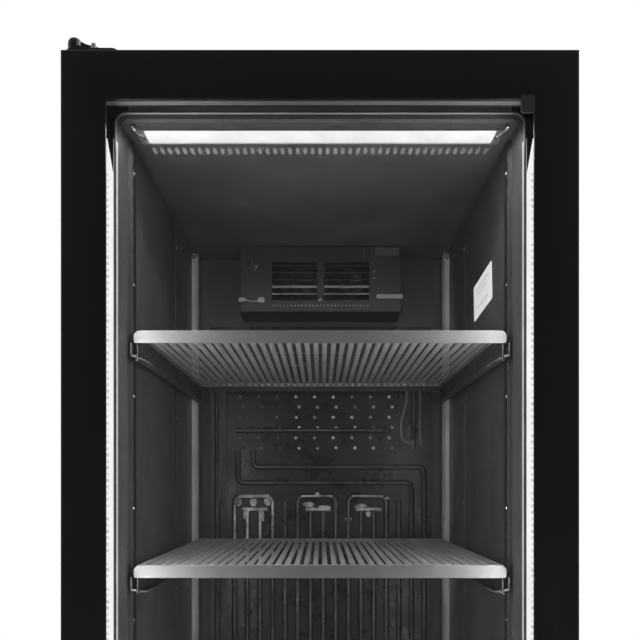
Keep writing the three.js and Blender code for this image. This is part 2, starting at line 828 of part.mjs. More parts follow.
function bottomHinge() {
  const plateZ = [DOOR_BOTTOM - 5.5, DOOR_BOTTOM - 1.5];
  const arm = block([-HALF + 1, -290], [8, CABINET_FACE - 0.5], plateZ);
  const leg = block([-HALF + 1, -290], [53.5, CABINET_FACE - 0.5], [plateZ[0], DOOR_BOTTOM + 9.5]);
  const heights = [plateZ[0] + 1, DOOR_BOTTOM + PIN_LENGTH];
  const pin = upright(hingeX, HINGE_DEPTH, PIN_RADIUS, heights, 24);
  place("bottom_hinge", join(arm, leg, pin), MATERIALS.hinge);
}

// ---------------------------------------------------------------- build

cabinetPanels();
linerEnds();
foamCore();
faceFrame();
baseTray();
levellingFeet();
frontGrille();
rearGrille();
powerInlet();
compressor();
condenserCoil();
condenserFanShroud();
condensatePan();
condenserFan();
circulationFans();
fanHousing();
thermostatKnob();
evaporatorPlate();
pilasters();
shelves();
topLamp();
sideLamps();
doorFrame();
glassUnit();
doorGasket();
doorHandle();
topHinge();
bottomHinge();

export default merchandiser;
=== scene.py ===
"""The looks of a single glass door merchandiser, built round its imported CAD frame.

Places are given as (x, depth, z) in millimetres: x to the viewer's right, depth behind the door's
front face, z up from the floor. at() turns them into the frame's metres. Sizes that the CAD nodes
already hold are read from their boxes with span().
"""

import json
import math

import bmesh
import bpy
from mathutils import Matrix, Vector


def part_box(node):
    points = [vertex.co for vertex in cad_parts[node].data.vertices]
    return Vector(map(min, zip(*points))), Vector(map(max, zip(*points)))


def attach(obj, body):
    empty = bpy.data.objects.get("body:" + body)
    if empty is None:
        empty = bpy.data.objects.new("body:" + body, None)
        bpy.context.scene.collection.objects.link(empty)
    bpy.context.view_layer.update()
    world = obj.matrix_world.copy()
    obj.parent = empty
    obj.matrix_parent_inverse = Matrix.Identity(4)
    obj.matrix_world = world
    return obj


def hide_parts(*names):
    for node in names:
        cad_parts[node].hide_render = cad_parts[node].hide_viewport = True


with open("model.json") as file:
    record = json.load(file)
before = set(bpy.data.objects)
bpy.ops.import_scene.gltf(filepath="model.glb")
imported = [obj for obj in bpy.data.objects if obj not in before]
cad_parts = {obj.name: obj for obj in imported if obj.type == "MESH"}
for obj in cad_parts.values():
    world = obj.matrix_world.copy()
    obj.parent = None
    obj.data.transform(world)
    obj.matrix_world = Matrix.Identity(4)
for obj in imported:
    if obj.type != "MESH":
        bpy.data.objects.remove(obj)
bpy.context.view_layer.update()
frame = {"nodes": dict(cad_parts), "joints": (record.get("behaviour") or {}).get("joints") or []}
scene = bpy.context.scene

MM = 0.001
DOOR_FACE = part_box("door_frame")[0].y


def at(x, depth, z):
    return Vector((x * MM, DOOR_FACE + depth * MM, z * MM))


def span(node):
    """The (x, depth, z) ranges of a CAD node, in millimetres."""
    low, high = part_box(node)
    depths = [(v.y - DOOR_FACE) / MM for v in (low, high)]
    return (low.x / MM, high.x / MM), tuple(depths), (low.z / MM, high.z / MM)


def pin(body):
    """Where the joint of a body is: (x, depth, z), in millimetres."""
    joint = next(j for j in frame["joints"] if j["child"] == body)
    x, y, z = joint["pos_m"]
    return x / MM, (y - DOOR_FACE) / MM, z / MM


SIDES = {"left": -1, "right": 1}
CEILING = span("liner_ceiling")[2][0]
FLOOR = span("liner_floor")[2][1]
WALL = -span("liner_left")[0][1]  # half the distance between the side walls
FACE = span("face_frame")[1][0]  # depth of the cabinet's front
BODY_TOP = span("top_panel")[2][1]
BODY_BACK = span("rear_panel")[1][1]
BODY_HALF = span("rear_panel")[0][1]
SCREW_PITCH = 169.5  # of the screws down the side walls


# ---- mesh helpers


def join_rings(bm, rings, looped=False, capped=False):
    """Bridges rings of as many points each. looped joins the last to the first; capped fills both ends."""
    for first, second in zip(rings, rings[1:] + rings[:looped]):
        for k in range(len(first)):
            n = (k + 1) % len(first)
            bm.faces.new((first[k], first[n], second[n], second[k]))
    if capped:
        bm.faces.new(rings[0])
        bm.faces.new(reversed(rings[-1]))


def add_prism(bm, outline, along, ends):
    """Sweeps a closed outline straight. The outline's points are the other two of x, depth and z."""

    def point(a, b, c):
        return {"x": (c, a, b), "depth": (a, c, b), "z": (a, b, c)}[along]

    join_rings(bm, [[bm.verts.new(at(*point(a, b, c))) for a, b in outline] for c in ends], capped=True)


def add_block(bm, x, depth, z):
    outline = [(x[0], z[0]), (x[1], z[0]), (x[1], z[1]), (x[0], z[1])]
    add_prism(bm, outline, "depth", depth)


def mirrored(side, low, high):
    """An x range given as distances from the middle, on the left (-1) or the right (1)."""
    return (-high, -low) if side < 0 else (low, high)


def add_pair(bm, low, high, depth, z):
    """A block on each side, from low to high away from the middle."""
    for side in SIDES.values():
        add_block(bm, mirrored(side, low, high), depth, z)


def add_surround(bm, x, depth, z, hole_x, hole_z):
    """A plate with a rectangular hole, in four blocks."""
    for across in ((x[0], hole_x[0]), (hole_x[1], x[1])):
        add_block(bm, across, depth, z)
    for up in ((z[0], hole_z[0]), (hole_z[1], z[1])):
        add_block(bm, hole_x, depth, up)


def from_middle(x):
    """The least and the greatest distance of an x range from the middle."""
    return sorted(abs(v) for v in x)


def rounded(a, b, radius, steps=4):
    """A rectangle's outline with rounded corners. radius is one number, or one for each corner."""
    radii = radius if isinstance(radius, (list, tuple)) else [radius] * 4
    corners = [(a[0], b[0], 1, 1), (a[1], b[0], -1, 1), (a[1], b[1], -1, -1), (a[0], b[1], 1, -1)]
    points = []
    for i, ((ca, cb, sa, sb), r) in enumerate(zip(corners, radii)):
        start = math.pi + i * math.pi / 2
        for k in range(steps + 1):
            angle = start + k / steps * math.pi / 2
            points.append((ca + sa * r + r * math.cos(angle), cb + sb * r + r * math.sin(angle)))
    return points


def add_turned(bm, centre, profile, along="z", segments=32, scale=(1, 1)):
    """Turns a [radius, height] profile round an axis through centre. scale squeezes it across."""
    x, depth, z = centre

    def point(r, h, angle):
        a, b = r * math.cos(angle) * scale[0], r * math.sin(angle) * scale[1]
        shift = {"x": (h, a, b), "depth": (a, h, b), "z": (a, b, h)}[along]
        return at(x + shift[0], depth + shift[1], z + shift[2])

    rings = []
    for r, h in profile:
        if r == 0:
            rings.append([bm.verts.new(point(0, h, 0))])
        else:
            rings.append([bm.verts.new(point(r, h, 2 * math.pi * k / segments)) for k in range(segments)])
    for first, second in zip(rings, rings[1:]):
        for k in range(segments):
            n = (k + 1) % segments
            if len(first) == 1:
                bm.faces.new((first[0], second[n], second[k]))
            elif len(second) == 1:
                bm.faces.new((first[k], first[n], second[0]))
            else:
                bm.faces.new((first[k], first[n], second[n], second[k]))
    for ring in (rings[0], rings[-1]):
        if len(ring) > 1:
            bm.faces.new(ring)


def add_tube(bm, points, radius, segments=10):
    """A capped round tube through points."""
    path = [at(*p) for p in points]
    tangents = []
    for i in range(len(path)):
        before, after = path[max(i - 1, 0)], path[min(i + 1, len(path) - 1)]
        tangents.append((after - before).normalized())
    across = tangents[0].orthogonal().normalized()
    rings = []
    for i, (p, t) in enumerate(zip(path, tangents)):
        if i:
            across = tangents[i - 1].rotation_difference(t) @ across
        other = t.cross(across)
        ring = []
        for k in range(segments):
            angle = 2 * math.pi * k / segments
            ring.append(bm.verts.new(p + (across * math.cos(angle) + other * math.sin(angle)) * radius * MM))
        rings.append(ring)
    join_rings(bm, rings, capped=True)


def bent(points, radius, steps=5):
    """A polyline with its inner corners rounded by arcs."""
    path = [Vector(p) for p in points]
    out = [tuple(path[0])]
    for before, corner, after in zip(path, path[1:], path[2:]):
        back, ahead = (before - corner).normalized(), (after - corner).normalized()
        reach = min(radius, (before - corner).length * 0.49, (after - corner).length * 0.49)
        start, end = corner + back * reach, corner + ahead * reach
        for k in range(steps + 1):
            t = k / steps
            out.append(tuple(start.lerp(corner, t).lerp(corner.lerp(end, t), t)))
    out.append(tuple(path[-1]))
    return out


def add_ridge(bm, points, section, depth):
    """A raised channel on a plate: points are (x, z), section is [(offset, rise), ...] across it."""
    path = [Vector(p) for p in points]
    rings = []
    for i, p in enumerate(path):
        before, after = path[max(i - 1, 0)], path[min(i + 1, len(path) - 1)]
        t = (after - before).normalized()
        across = Vector((-t.y, t.x))
        ring = []
        for offset, rise in section:
            q = p + across * offset
            ring.append(bm.verts.new(at(q.x, depth - rise, q.y)))
        rings.append(ring)
    join_rings(bm, rings, capped=True)


def add_mitred(bm, profile, half, heights, extra=0, beyond=0):
    """Sweeps a closed [(inset, depth)] profile round an upright rectangle, with mitred corners.
    Along the top and bottom, insets past beyond grow by extra."""
    rings = []
    for sx, sz in ((-1, 0), (1, 0), (1, 1), (-1, 1)):
        ring = []
        for inset, depth in profile:
            x = sx * (half - inset)
            grown = inset + (extra if inset > beyond else 0)
            z = heights[0] + grown if sz == 0 else heights[1] - grown
            ring.append(bm.verts.new(at(x, depth, z)))
        rings.append(ring)
    join_rings(bm, rings, looped=True)


def add_screw(bm, centre, radius=3.2, rise=2.0, along="depth", away=-1):
    """A pan-head screw with a hexagonal recess, standing off a surface towards away."""
    profile = [(0, 0.2), (radius, 0.2), (radius, rise * 0.35), (radius * 0.8, rise * 0.85)]
    profile += [(radius * 0.5, rise), (radius * 0.42, rise * 0.4), (0, rise * 0.4)]
    add_turned(bm, centre, [(r, away * h) for r, h in profile], along, 12)


def linked(name, data):
    made = bpy.data.objects.new(name, data)
    scene.collection.objects.link(made)
    return made


def solid(name, bm, material):
    bmesh.ops.recalc_face_normals(bm, faces=bm.faces)
    mesh = bpy.data.meshes.new(name)
    bm.to_mesh(mesh)
    bm.free()
    mesh.materials.append(material)
    return linked(name, mesh)


def piece(name, bm, material, body="cabinet", bevel=0.0, segments=2, replaces=(), sharp=38):
    """Makes an object of the bmesh, which rides on a body and may stand for CAD nodes."""
    made = solid(name, bm, material)
    mesh = made.data
    mesh.shade_smooth()
    if bevel:
        add_bevel(made, bevel, segments)
    else:
        mesh.set_sharp_from_angle(angle=math.radians(sharp))
    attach(made, body)
    if replaces:
        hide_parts(*replaces)


def add_bevel(made, width, segments=2):
    modifier = made.modifiers.new("Soft edges", "BEVEL")
    modifier.width = width * MM
    modifier.segments = segments
    modifier.limit_method = "ANGLE"
    modifier.angle_limit = math.radians(32)
    modifier.harden_normals = True


# ---- materials


def add_node(nodes, kind, **values):
    """A shader node with constants on its sockets. An underscore stands for a socket name's space."""
    made = nodes.new("ShaderNode" + kind)
    for socket, value in values.items():
        made.inputs[socket.replace("_", " ")].default_value = value
    return made


class Finish:
    """A Principled material with object-space noise for its colour, roughness and bump."""

    def __init__(self, name, colour, roughness, metallic=0.0):
        self.material = bpy.data.materials.new(name)
        self.material.use_nodes = True
        self.nodes = self.material.node_tree.nodes
        self.links = self.material.node_tree.links
        self.sockets = self.nodes["Principled BSDF"].inputs
        self.colour = colour
        self.sockets["Base Color"].default_value = (*colour, 1)
        self.sockets["Roughness"].default_value = roughness
        self.sockets["Metallic"].default_value = metallic
        self.place = self.nodes.new("ShaderNodeTexCoord").outputs["Object"]

    def mapped(self, stretch):
        mapping = add_node(self.nodes, "Mapping", Scale=stretch)
        self.links.new(self.place, mapping.inputs["Vector"])
        return mapping.outputs["Vector"]

    def noise(self, scale, detail=3.0, stretch=(1, 1, 1), roughness=0.55):
        node = add_node(self.nodes, "TexNoise", Scale=scale, Detail=detail, Roughness=roughness)
        self.links.new(self.mapped(stretch), node.inputs["Vector"])
        return node.outputs["Fac"]

    def ranged(self, value, low, high, start=0.3, end=0.7):
        node = add_node(self.nodes, "MapRange", From_Min=start, From_Max=end, To_Min=low, To_Max=high)
        self.links.new(value, node.inputs["Value"])
        return node.outputs["Result"]

    def vector(self, operation, source):
        node = self.nodes.new("ShaderNodeVectorMath")
        node.operation = operation
        self.links.new(source, node.inputs[0])
        return node

    def tint(self, value, dark, light, start=0.3, end=0.7):
        """The base colour swings between dark and light shares of itself."""
        node = self.nodes.new("ShaderNodeMix")
        node.data_type = "RGBA"
        for socket, share in (("A", dark), ("B", light)):
            node.inputs[socket].default_value = (*(c * share for c in self.colour), 1)
        self.links.new(self.ranged(value, 0, 1, start, end), node.inputs["Factor"])
        self.links.new(node.outputs["Result"], self.sockets["Base Color"])

    def rough(self, value, low, high):
        self.links.new(self.ranged(value, low, high), self.sockets["Roughness"])

    def bump(self, value, strength, distance):
        node = add_node(self.nodes, "Bump", Strength=strength, Distance=distance)
        self.links.new(value, node.inputs["Height"])
        self.links.new(node.outputs["Normal"], self.sockets["Normal"])


def coated(name, colour, roughness, tint, rough, bump=None, metallic=0.0):
    """tint, rough and bump each hold a noise's settings, and then what the noise drives."""
    made = Finish(name, colour, roughness, metallic)
    made.tint(made.noise(*tint[0]), *tint[1])
    made.rough(made.noise(*rough[0]), *rough[1])
    if bump:
        made.bump(made.noise(*bump[0]), *bump[1])
    return made


def powder_coat(name, colour, roughness, grain=900, depth=0.25):
    gloss = (roughness - 0.06, roughness + 0.08)
    bump = ((grain, 2), (depth, 0.0002))
    return coated(name, colour, roughness, ((7, 4), (0.82, 1.2)), ((60, 5), gloss), bump).material


def sheet_metal(name, colour, roughness, brush=(1, 1, 1)):
    made = Finish(name, colour, roughness, 0.9)
    grain = made.noise(400, 3, brush)
    made.tint(made.noise(9, 5), 0.8, 1.15)
    made.rough(grain, roughness - 0.09, roughness + 0.1)
    made.bump(grain, 0.08, 0.0001)
    return made.material


def zinc_plate():
    """Zinc with its spangle, a patchwork of lighter and darker crystals."""
    made = Finish("zinc_plate", (0.42, 0.43, 0.44), 0.42, 0.85)
    spangle = add_node(made.nodes, "TexVoronoi", Scale=120)
    made.links.new(made.mapped((1, 1, 1)), spangle.inputs["Vector"])
    made.tint(spangle.outputs["Color"], 0.72, 1.15, 0.0, 1.0)
    made.rough(made.noise(90, 4), 0.33, 0.5)
    return made.material


def moulded(name, colour, roughness=0.5):
    gloss = (roughness - 0.05, roughness + 0.07)
    bump = ((1600, 1), (0.12, 0.0001))
    return coated(name, colour, roughness, ((14, 3), (0.85, 1.15)), ((220, 3), gloss), bump).material


def liner_sheet(name, painted_shade):
    """Grey coated sheet, its tone a little streaky up and down. On the side walls the colour is painted
    darker above a slanting line: painted shade, for where the side lamps' beams don't reach."""
    streaks, gloss = ((7, 5, (1.0, 1.0, 0.35), 0.6), (0.72, 1.22)), ((11, 5), (0.3, 0.5))
    made = coated(name, (0.092, 0.092, 0.093), 0.4, streaks, gloss, ((700, 2), (0.1, 0.0001)))
    if painted_shade:
        slope = 0.47  # of the line: rise for each unit of depth
        # painted shade: the wall's base colour is dimmed above the slanting line
        slant = made.vector("DOT_PRODUCT", made.place)
        slant.inputs[1].default_value = (0, slope, 1)
        edge = at(0, 64, 1862)  # a point on the line
        line = edge.y * slope + edge.z
        lit = made.ranged(slant.outputs["Value"], 1, 0.62, line - 0.02, line + 0.03)
        painted_shade_colour = made.vector("SCALE", made.sockets["Base Color"].links[0].from_socket)
        made.links.new(lit, painted_shade_colour.inputs["Scale"])
        made.links.new(painted_shade_colour.outputs["Vector"], made.sockets["Base Color"])
    return made.material


def painted_highlights(name, colour, scale):
    """Painted highlights that come and go along a pipe."""
    patches = ((scale, 4, (1, 1, 1), 0.7), (0.3, 1.5, 0.35, 0.65))
    return coated(name, colour, 0.55, patches, ((150, 3), (0.4, 0.75)), ((500, 3), (0.3, 0.0004))).material


def glowing(name, strength, mottle, scale, base=0.3):
    """A surface that gives off light: a lit white diffuser for the lamps, and painted light on the label and
    the ceiling's scallops; mottle makes its brightness uneven from place to place.
    """
    made = Finish(name, (base, base, base), 0.35)
    made.sockets["Emission Color"].default_value = (1, 1, 1, 1)
    made.rough(made.noise(300, 2), 0.3, 0.4)
    level = made.ranged(made.noise(scale, 3), strength * (1 - mottle), strength * (1 + mottle))
    made.links.new(level, made.sockets["Emission Strength"])
    return made.material


def shader_mix(nodes, links, share, first, second, output):
    """Mixes two shaders by share, into the tree's output node."""
    mix = nodes.new("ShaderNodeMixShader")
    for source, socket in ((share, 0), (first.outputs[0], 1), (second.outputs[0], 2)):
        links.new(source, mix.inputs[socket])
    links.new(mix.outputs["Shader"], nodes[output].inputs["Surface"])


def clear_glass():
    """Thin panes seen straight through, with their reflections laid over: more of them edge on."""
    material = bpy.data.materials.new("clear_glass")
    material.use_nodes = True
    nodes, links = material.node_tree.nodes, material.node_tree.links
    nodes.remove(nodes["Principled BSDF"])
    clear = add_node(nodes, "BsdfTransparent", Color=(0.975, 0.98, 0.977, 1))
    shine = add_node(nodes, "BsdfGlossy", Roughness=0.015)
    facing = add_node(nodes, "LayerWeight", Blend=0.5)
    steep, share = nodes.new("ShaderNodeMath"), nodes.new("ShaderNodeMath")
    steep.operation, share.operation = "POWER", "MULTIPLY_ADD"
    steep.inputs[1].default_value = 5
    share.inputs[1].default_value = 0.8
    share.inputs[2].default_value = 0.022
    links.new(facing.outputs["Facing"], steep.inputs[0])
    links.new(steep.outputs["Value"], share.inputs[0])
    shader_mix(nodes, links, share.outputs["Value"], clear, shine, "Material Output")
    return material


DOOR_BLACK = powder_coat("door_black", (0.0102, 0.0102, 0.0106), 0.42)
CABINET_BLACK = powder_coat("cabinet_black", (0.011, 0.011, 0.012), 0.4, 700, 0.35)
# one grey shelf coat in three shades: the slats lighter (painted light), the lip darker and the side flanges
# near black (painted shade)
SLAT_GREY_PAINTED_LIGHT = powder_coat("shelf_grey_painted_light", (0.34, 0.34, 0.343), 0.42, 1100, 0.2)
LIP_GREY_PAINTED_SHADE = powder_coat("lip_grey_painted_shade", (0.19, 0.19, 0.192), 0.42, 1100, 0.2)
SHELF_SIDE_PAINTED_SHADE = powder_coat("shelf_side_painted_shade", (0.035, 0.035, 0.036), 0.42, 1100, 0.2)
# painted light: near white, for the lamps' light on the rear pilasters
PILASTER_PAINTED_LIGHT = powder_coat("pilaster_painted_light", (0.92, 0.92, 0.925), 0.4)
HEAD_STRIP_PAINTED_LIGHT = powder_coat("trim_grey_painted_light", (0.28, 0.28, 0.282), 0.45)
FOLD_PAINTED_LIGHT = powder_coat("fold_painted_light", (0.12, 0.12, 0.121), 0.45)
EDGE_GREY = moulded("edge_strip_grey", (0.07, 0.07, 0.072), 0.4)
PIPE_GREY = moulded("pipe_grey", (0.25, 0.25, 0.25), 0.35)
HINGE_BLACK = powder_coat("hinge_black", (0.03, 0.03, 0.032), 0.4)
LINER = liner_sheet("liner_sheet", False)
LINER_WALL_PAINTED_SHADE = liner_sheet("liner_wall_painted_shade", True)
FACE_BLACK = moulded("face_black", (0.02, 0.02, 0.021), 0.42)
FACE_GREY = moulded("face_grey", (0.06, 0.06, 0.062), 0.45)
DARK_PLASTIC = moulded("dark_plastic", (0.028, 0.028, 0.03), 0.38)
HOUSING_PLASTIC = moulded("housing_plastic", (0.032, 0.032, 0.0328), 0.38)
KNOB_GREY = moulded("knob_grey", (0.07, 0.07, 0.071), 0.3)
HANDLE_BLACK = moulded("handle_black", (0.012, 0.012, 0.013), 0.3)
FOAM = moulded("foam", (0.6, 0.48, 0.26), 0.9)
RAIL_STEEL = sheet_metal("rail_steel", (0.34, 0.34, 0.35), 0.38, (1, 0.04, 1))
RAIL_PAINT = powder_coat("rail_paint", (0.055, 0.055, 0.056), 0.4)
LOUVRE_PAINTED_HIGHLIGHT = powder_coat("louvre_painted_highlight", (0.3, 0.3, 0.3), 0.4)
HOOK_PAINT = powder_coat("hook_paint", (0.13, 0.13, 0.132), 0.4)
DULL_STEEL = sheet_metal("dull_steel", (0.4, 0.4, 0.4), 0.45)
SPACER_GREY = powder_coat("spacer_grey", (0.25, 0.25, 0.252), 0.4)
BRIGHT_STEEL = sheet_metal("bright_steel", (0.75, 0.75, 0.76), 0.22)
ALUMINIUM = sheet_metal("aluminium", (0.6, 0.61, 0.62), 0.35, (0.05, 1, 1))
FIN_ALUMINIUM = sheet_metal("fin_aluminium", (0.62, 0.63, 0.64), 0.4)
ZINC = zinc_plate()
PLATE_SHADES, PLATE_GLOSS = ((16, 6, (1, 1, 0.5), 0.7), (0.45, 1.5)), ((24, 5), (0.2, 0.45))
PLATE_BUMP = ((130, 3), (0.12, 0.0006))
PLATE_GREY = (0.017, 0.017, 0.0173)
plate = coated("evaporator_sheet", PLATE_GREY, 0.32, PLATE_SHADES, PLATE_GLOSS, PLATE_BUMP, 0.1)
EVAPORATOR = plate.material
# painted highlights: light paint for the glints along the evaporator's channels and on its spots
CREST_HIGHLIGHT_PAINT = painted_highlights("crest_highlight_paint", (0.62, 0.62, 0.63), 35)
FAINT_HIGHLIGHT_PAINT = painted_highlights("faint_highlight_paint", (0.16, 0.16, 0.163), 22)
RUBBER_SHADES, RUBBER_GLOSS = ((30, 3), (0.7, 1.4)), ((140, 3), (0.6, 0.8))
RUBBER_BUMP = ((900, 2), (0.15, 0.0002))
soft = coated("gasket_rubber", (0.012, 0.012, 0.012), 0.7, RUBBER_SHADES, RUBBER_GLOSS, RUBBER_BUMP)
RUBBER = soft.material
COPPER_SHADES, COPPER_GLOSS = ((45, 4), (0.6, 1.1)), ((80, 3), (0.22, 0.45))
COPPER = coated("copper_pipe", (0.72, 0.33, 0.18), 0.3, COPPER_SHADES, COPPER_GLOSS, metallic=1.0).material
ENAMEL = powder_coat("compressor_enamel", (0.01, 0.01, 0.011), 0.22, 500, 0.3)
TOP_GLOW = glowing("top_glow", 0.78, 0.1, 25)
LAMP_GLOW = glowing("lamp_glow", 1.05, 0.05, 25)
LAMP_DIM = glowing("lamp_dim", 0.36, 0.1, 25)
BEAD_GLOW = glowing("bead_glow", 0.75, 0.4, 60)
SCALLOP_PAINTED_LIGHT = glowing("scallop_painted_light", 0.065, 0.9, 9)
LABEL_PAINTED_GLOW = glowing("label_white_painted_glow", 0.5, 0.08, 20, base=0.93)
LABEL_BARS_PAINTED_GLOW = glowing("label_grey_painted_glow", 0.3, 0.1, 20)
GLASS = clear_glass()


def repaint(node, material, bevel=0.0):
    """A CAD node that keeps its shape, with a finished material and softened edges."""
    made = frame["nodes"][node]
    made.data.materials.clear()
    made.data.materials.append(material)
    if bevel:
        flatten = made.modifiers.new("Whole faces", "DECIMATE")
        flatten.decimate_type = "DISSOLVE"
        flatten.angle_limit = math.radians(1)
        add_bevel(made, bevel)


# ---- cabinet shell


def grid(xs, zs):
    return [(x, z) for x in xs for z in zs]


def rear_screws(name, spots, depth=BODY_BACK):
    """Screws in the back of the cabinet, at (x, z) spots."""
    bm = bmesh.new()
    for x, z in spots:
        add_screw(bm, (x, depth, z), 3.6, 1.8, "depth", 1)
    piece(name, bm, BRIGHT_STEEL)


def cabinet_shell():
    for label in SIDES:
        repaint(f"side_panel_{label}", CABINET_BLACK, 0.4)
        repaint(f"liner_{label}", LINER_WALL_PAINTED_SHADE)
    for node in ("top_panel", "rear_panel"):
        repaint(node, CABINET_BLACK, 0.4)
    for node in ("liner_ceiling", "liner_floor", "liner_back"):
        repaint(node, LINER)
    repaint("bottom_panel", ZINC, 0.4)
    repaint("base_tray", ZINC, 0.4)
    repaint("foam_core", FOAM)
    repaint("face_frame", FACE_BLACK, 0.8)

    edges = grid((10 - BODY_HALF, BODY_HALF - 10), (300, 600, 900, 1200, 1500, 1800, 1950))
    rear_screws("rear_panel_screws", edges + grid((-220, 0, 220), (282, BODY_TOP - 12)))

    # pressed beads that stiffen the rear panel, and a cover over the evaporator's pipe run
    bm = bmesh.new()
    bead = [(-8, -0.2), (-5, 1.2), (-2, 1.8), (2, 1.8), (5, 1.2), (8, -0.2)]
    for cx in (-190, 190):
        add_prism(bm, [(cx + a, BODY_BACK + b) for a, b in bead], "z", (360, 1500))
    for cz in (340, 1530):
        add_prism(bm, [(BODY_BACK + b, cz + a) for a, b in bead], "x", (-240, 240))
    piece("rear_panel_beads", bm, CABINET_BLACK)
    bm = bmesh.new()
    add_prism(bm, rounded((-70, 70), (1640, 1800), 8), "depth", (BODY_BACK - 0.2, BODY_BACK + 1.6))
    piece("rear_service_cover", bm, CABINET_BLACK, bevel=0.6)
    rear_screws("rear_service_screws", grid((-58, 58), (1652, 1788)), BODY_BACK + 1.5)

    # the edge where the liner is folded round the opening, a little lighter than the liner: painted light,
    # for the lamps' light on the fold
    bm = bmesh.new()
    outer = rounded((-WALL - 1.2, WALL + 1.2), (FLOOR - 1.2, CEILING + 1.2), 17, 8)
    inner = rounded((-WALL + 0.6, WALL - 0.6), (FLOOR + 0.6, CEILING - 0.6), 15.2, 8)
    near, far = FACE - 0.15, FACE + 4
    lines = ((outer, near), (inner, near), (inner, far), (outer, far))
    join_rings(bm, [[bm.verts.new(at(x, d, z)) for x, z in line] for line, d in lines], looped=True)
    piece("opening_trim", bm, FOLD_PAINTED_LIGHT)

    # a light grey strip along the opening's head: painted light, for the lamps' light along it
    bm = bmesh.new()
    add_block(bm, (-270, 270), (FACE - 0.25, FACE + 0.1), (CEILING + 2, CEILING + 8.5))
    add_block(bm, (-272, 272), (FACE - 0.3, FACE + 3), (CEILING - 0.8, CEILING + 1.2))
    piece("opening_head_strip", bm, HEAD_STRIP_PAINTED_LIGHT)


def wall_seams():
    """A low joint strip with screws down each side wall."""
    bm, screws = bmesh.new(), bmesh.new()
    upright = (FLOOR + 6, CEILING - 6)
    add_pair(bm, WALL - 0.9, WALL + 0.2, (428, 516), upright)
    add_pair(bm, WALL - 2.2, WALL + 0.2, (426, 434), upright)
    for side in SIDES.values():
        for i in range(9):
            add_screw(screws, (side * (WALL - 2), 430, 1868 - i * SCREW_PITCH), 3, 1.6, "x", -side)
    piece("wall_seam_strips", bm, LINER_WALL_PAINTED_SHADE, bevel=0.4)
    piece("wall_seam_screws", screws, BRIGHT_STEEL)


def wall_label():
    """A plain white label on the right wall, with no print but a few grey bars. Label and bars glow a little:
    painted light, for the side lamp's light on them.
    """
    x = WALL - 0.4
    tilt = math.radians(-4)

    def turned_outline(d, z, corner=0):
        centre = Vector((294.5, 1738))
        turn = Matrix.Rotation(tilt, 2)
        return [tuple(centre + turn @ Vector(p)) for p in rounded(d, z, corner, 3)]

    bm = bmesh.new()
    add_prism(bm, turned_outline((-62.5, 62.5), (-32.5, 32.5), 3), "x", (x - 0.15, x + 0.35))
    piece("wall_label", bm, LABEL_PAINTED_GLOW)
    bm = bmesh.new()
    for z, half in ((18, 44), (8, 30), (-16, 38)):
        add_prism(bm, turned_outline((-half, half), (z - 1.2, z + 1.2), 0.5), "x", (x - 0.25, x))
    piece("wall_label_bars", bm, LABEL_BARS_PAINTED_GLOW)


def base():
    repaint("power_inlet", DARK_PLASTIC, 0.5)
    repaint("condensate_pan", DARK_PLASTIC, 0.6)
    repaint("condenser_fan_shroud", ZINC, 0.4)
    repaint("rear_grille", CABINET_BLACK, 0.3)
    repaint("bottom_hinge", HINGE_BLACK, 0.5)

    bm = bmesh.new()
    x, depth, z = span("power_inlet")
    middle = sum(z) / 2
    for dx, dz in ((-7, -2), (7, -2), (0, 4)):
        cx = sum(x) / 2 + dx
        add_block(bm, (cx - 1, cx + 1), (681, depth[1] - 1), (middle + dz - 2, middle + dz + 2))
    piece("power_inlet_pins", bm, BRIGHT_STEEL)

    x, _, z = span("rear_grille")
    rear_screws("rear_grille_screws", grid((x[0] + 12, -90, 170, x[1] - 12), (z[0] + 6, z[1] - 6)))


def front_grille():
    """A cover with a raised field of sloping louvres."""
    x, depth, z = span("front_grille")
    front = depth[0]
    bm = bmesh.new()
    field_x, field_z = (-284, 284), (z[0] + 20, z[1] - 20)
    add_surround(bm, x, (front + 1, front + 4), z, field_x, field_z)
    add_pair(bm, x[1] - 3, x[1], (front + 3, depth[1]), z)
    # strips behind the seams by the side panels
    add_pair(bm, x[1] - 7, x[1] - 4, (front + 4, depth[1] + 12), (z[0] + 1, z[1] - 1))
    for cz in (z[0], z[1] - 3):
        add_block(bm, x, (front + 3, depth[1]), (cz, cz + 3))
    count = 11
    pitch = (field_z[1] - field_z[0]) / count
    for i in range(count):
        low = field_z[0] + i * pitch
        blade = [(front, low + 3), (front + 1.5, low + 1.5)]
        blade += [(front + 16, low + pitch - 1), (front + 14, low + pitch)]
        add_prism(bm, blade, "x", field_x)
    for cx in (-95, 95):
        add_block(bm, (cx - 4, cx + 4), (front + 2, front + 12), field_z)
    name, node = "front_grille_louvres", "front_grille"
    piece(name, bm, CABINET_BLACK, bevel=0.5, replaces=[node])

    bm = bmesh.new()
    for cx, cz in grid((x[0] + 16, x[1] - 16), (z[0] + 14, z[1] - 14)):
        add_screw(bm, (cx, front + 1, cz), 4, 2.2)
    piece("front_grille_screws", bm, BRIGHT_STEEL)


def levelling_feet():
    for row in ("front", "rear"):
        for label in SIDES:
            node = f"foot_{row}_{label}"
            x, depth, _ = span(node)
            centre = (sum(x) / 2, sum(depth) / 2, 0)
            bm = bmesh.new()
            pad = [(0, 0), (20.5, 0), (22, 1.2), (22, 5), (20, 8), (14, 11.5), (8, 13.5)]
            stem = []
            for turn in range(24):
                low = 14 + turn * 3
                stem += [(6, low), (5.3, low + 1.5)]
            add_turned(bm, centre, pad + stem + [(5, 88), (0, 90)], segments=40)
            nut = [(5.2, 30), (10.2, 30), (11, 31), (11, 39), (10.2, 40), (5.2, 40)]
            add_turned(bm, centre, nut, segments=6)
            paint = ZINC if row == "rear" else HINGE_BLACK
            piece(f"{node}_screw", bm, paint, node, replaces=[node])


# ---- condensing unit


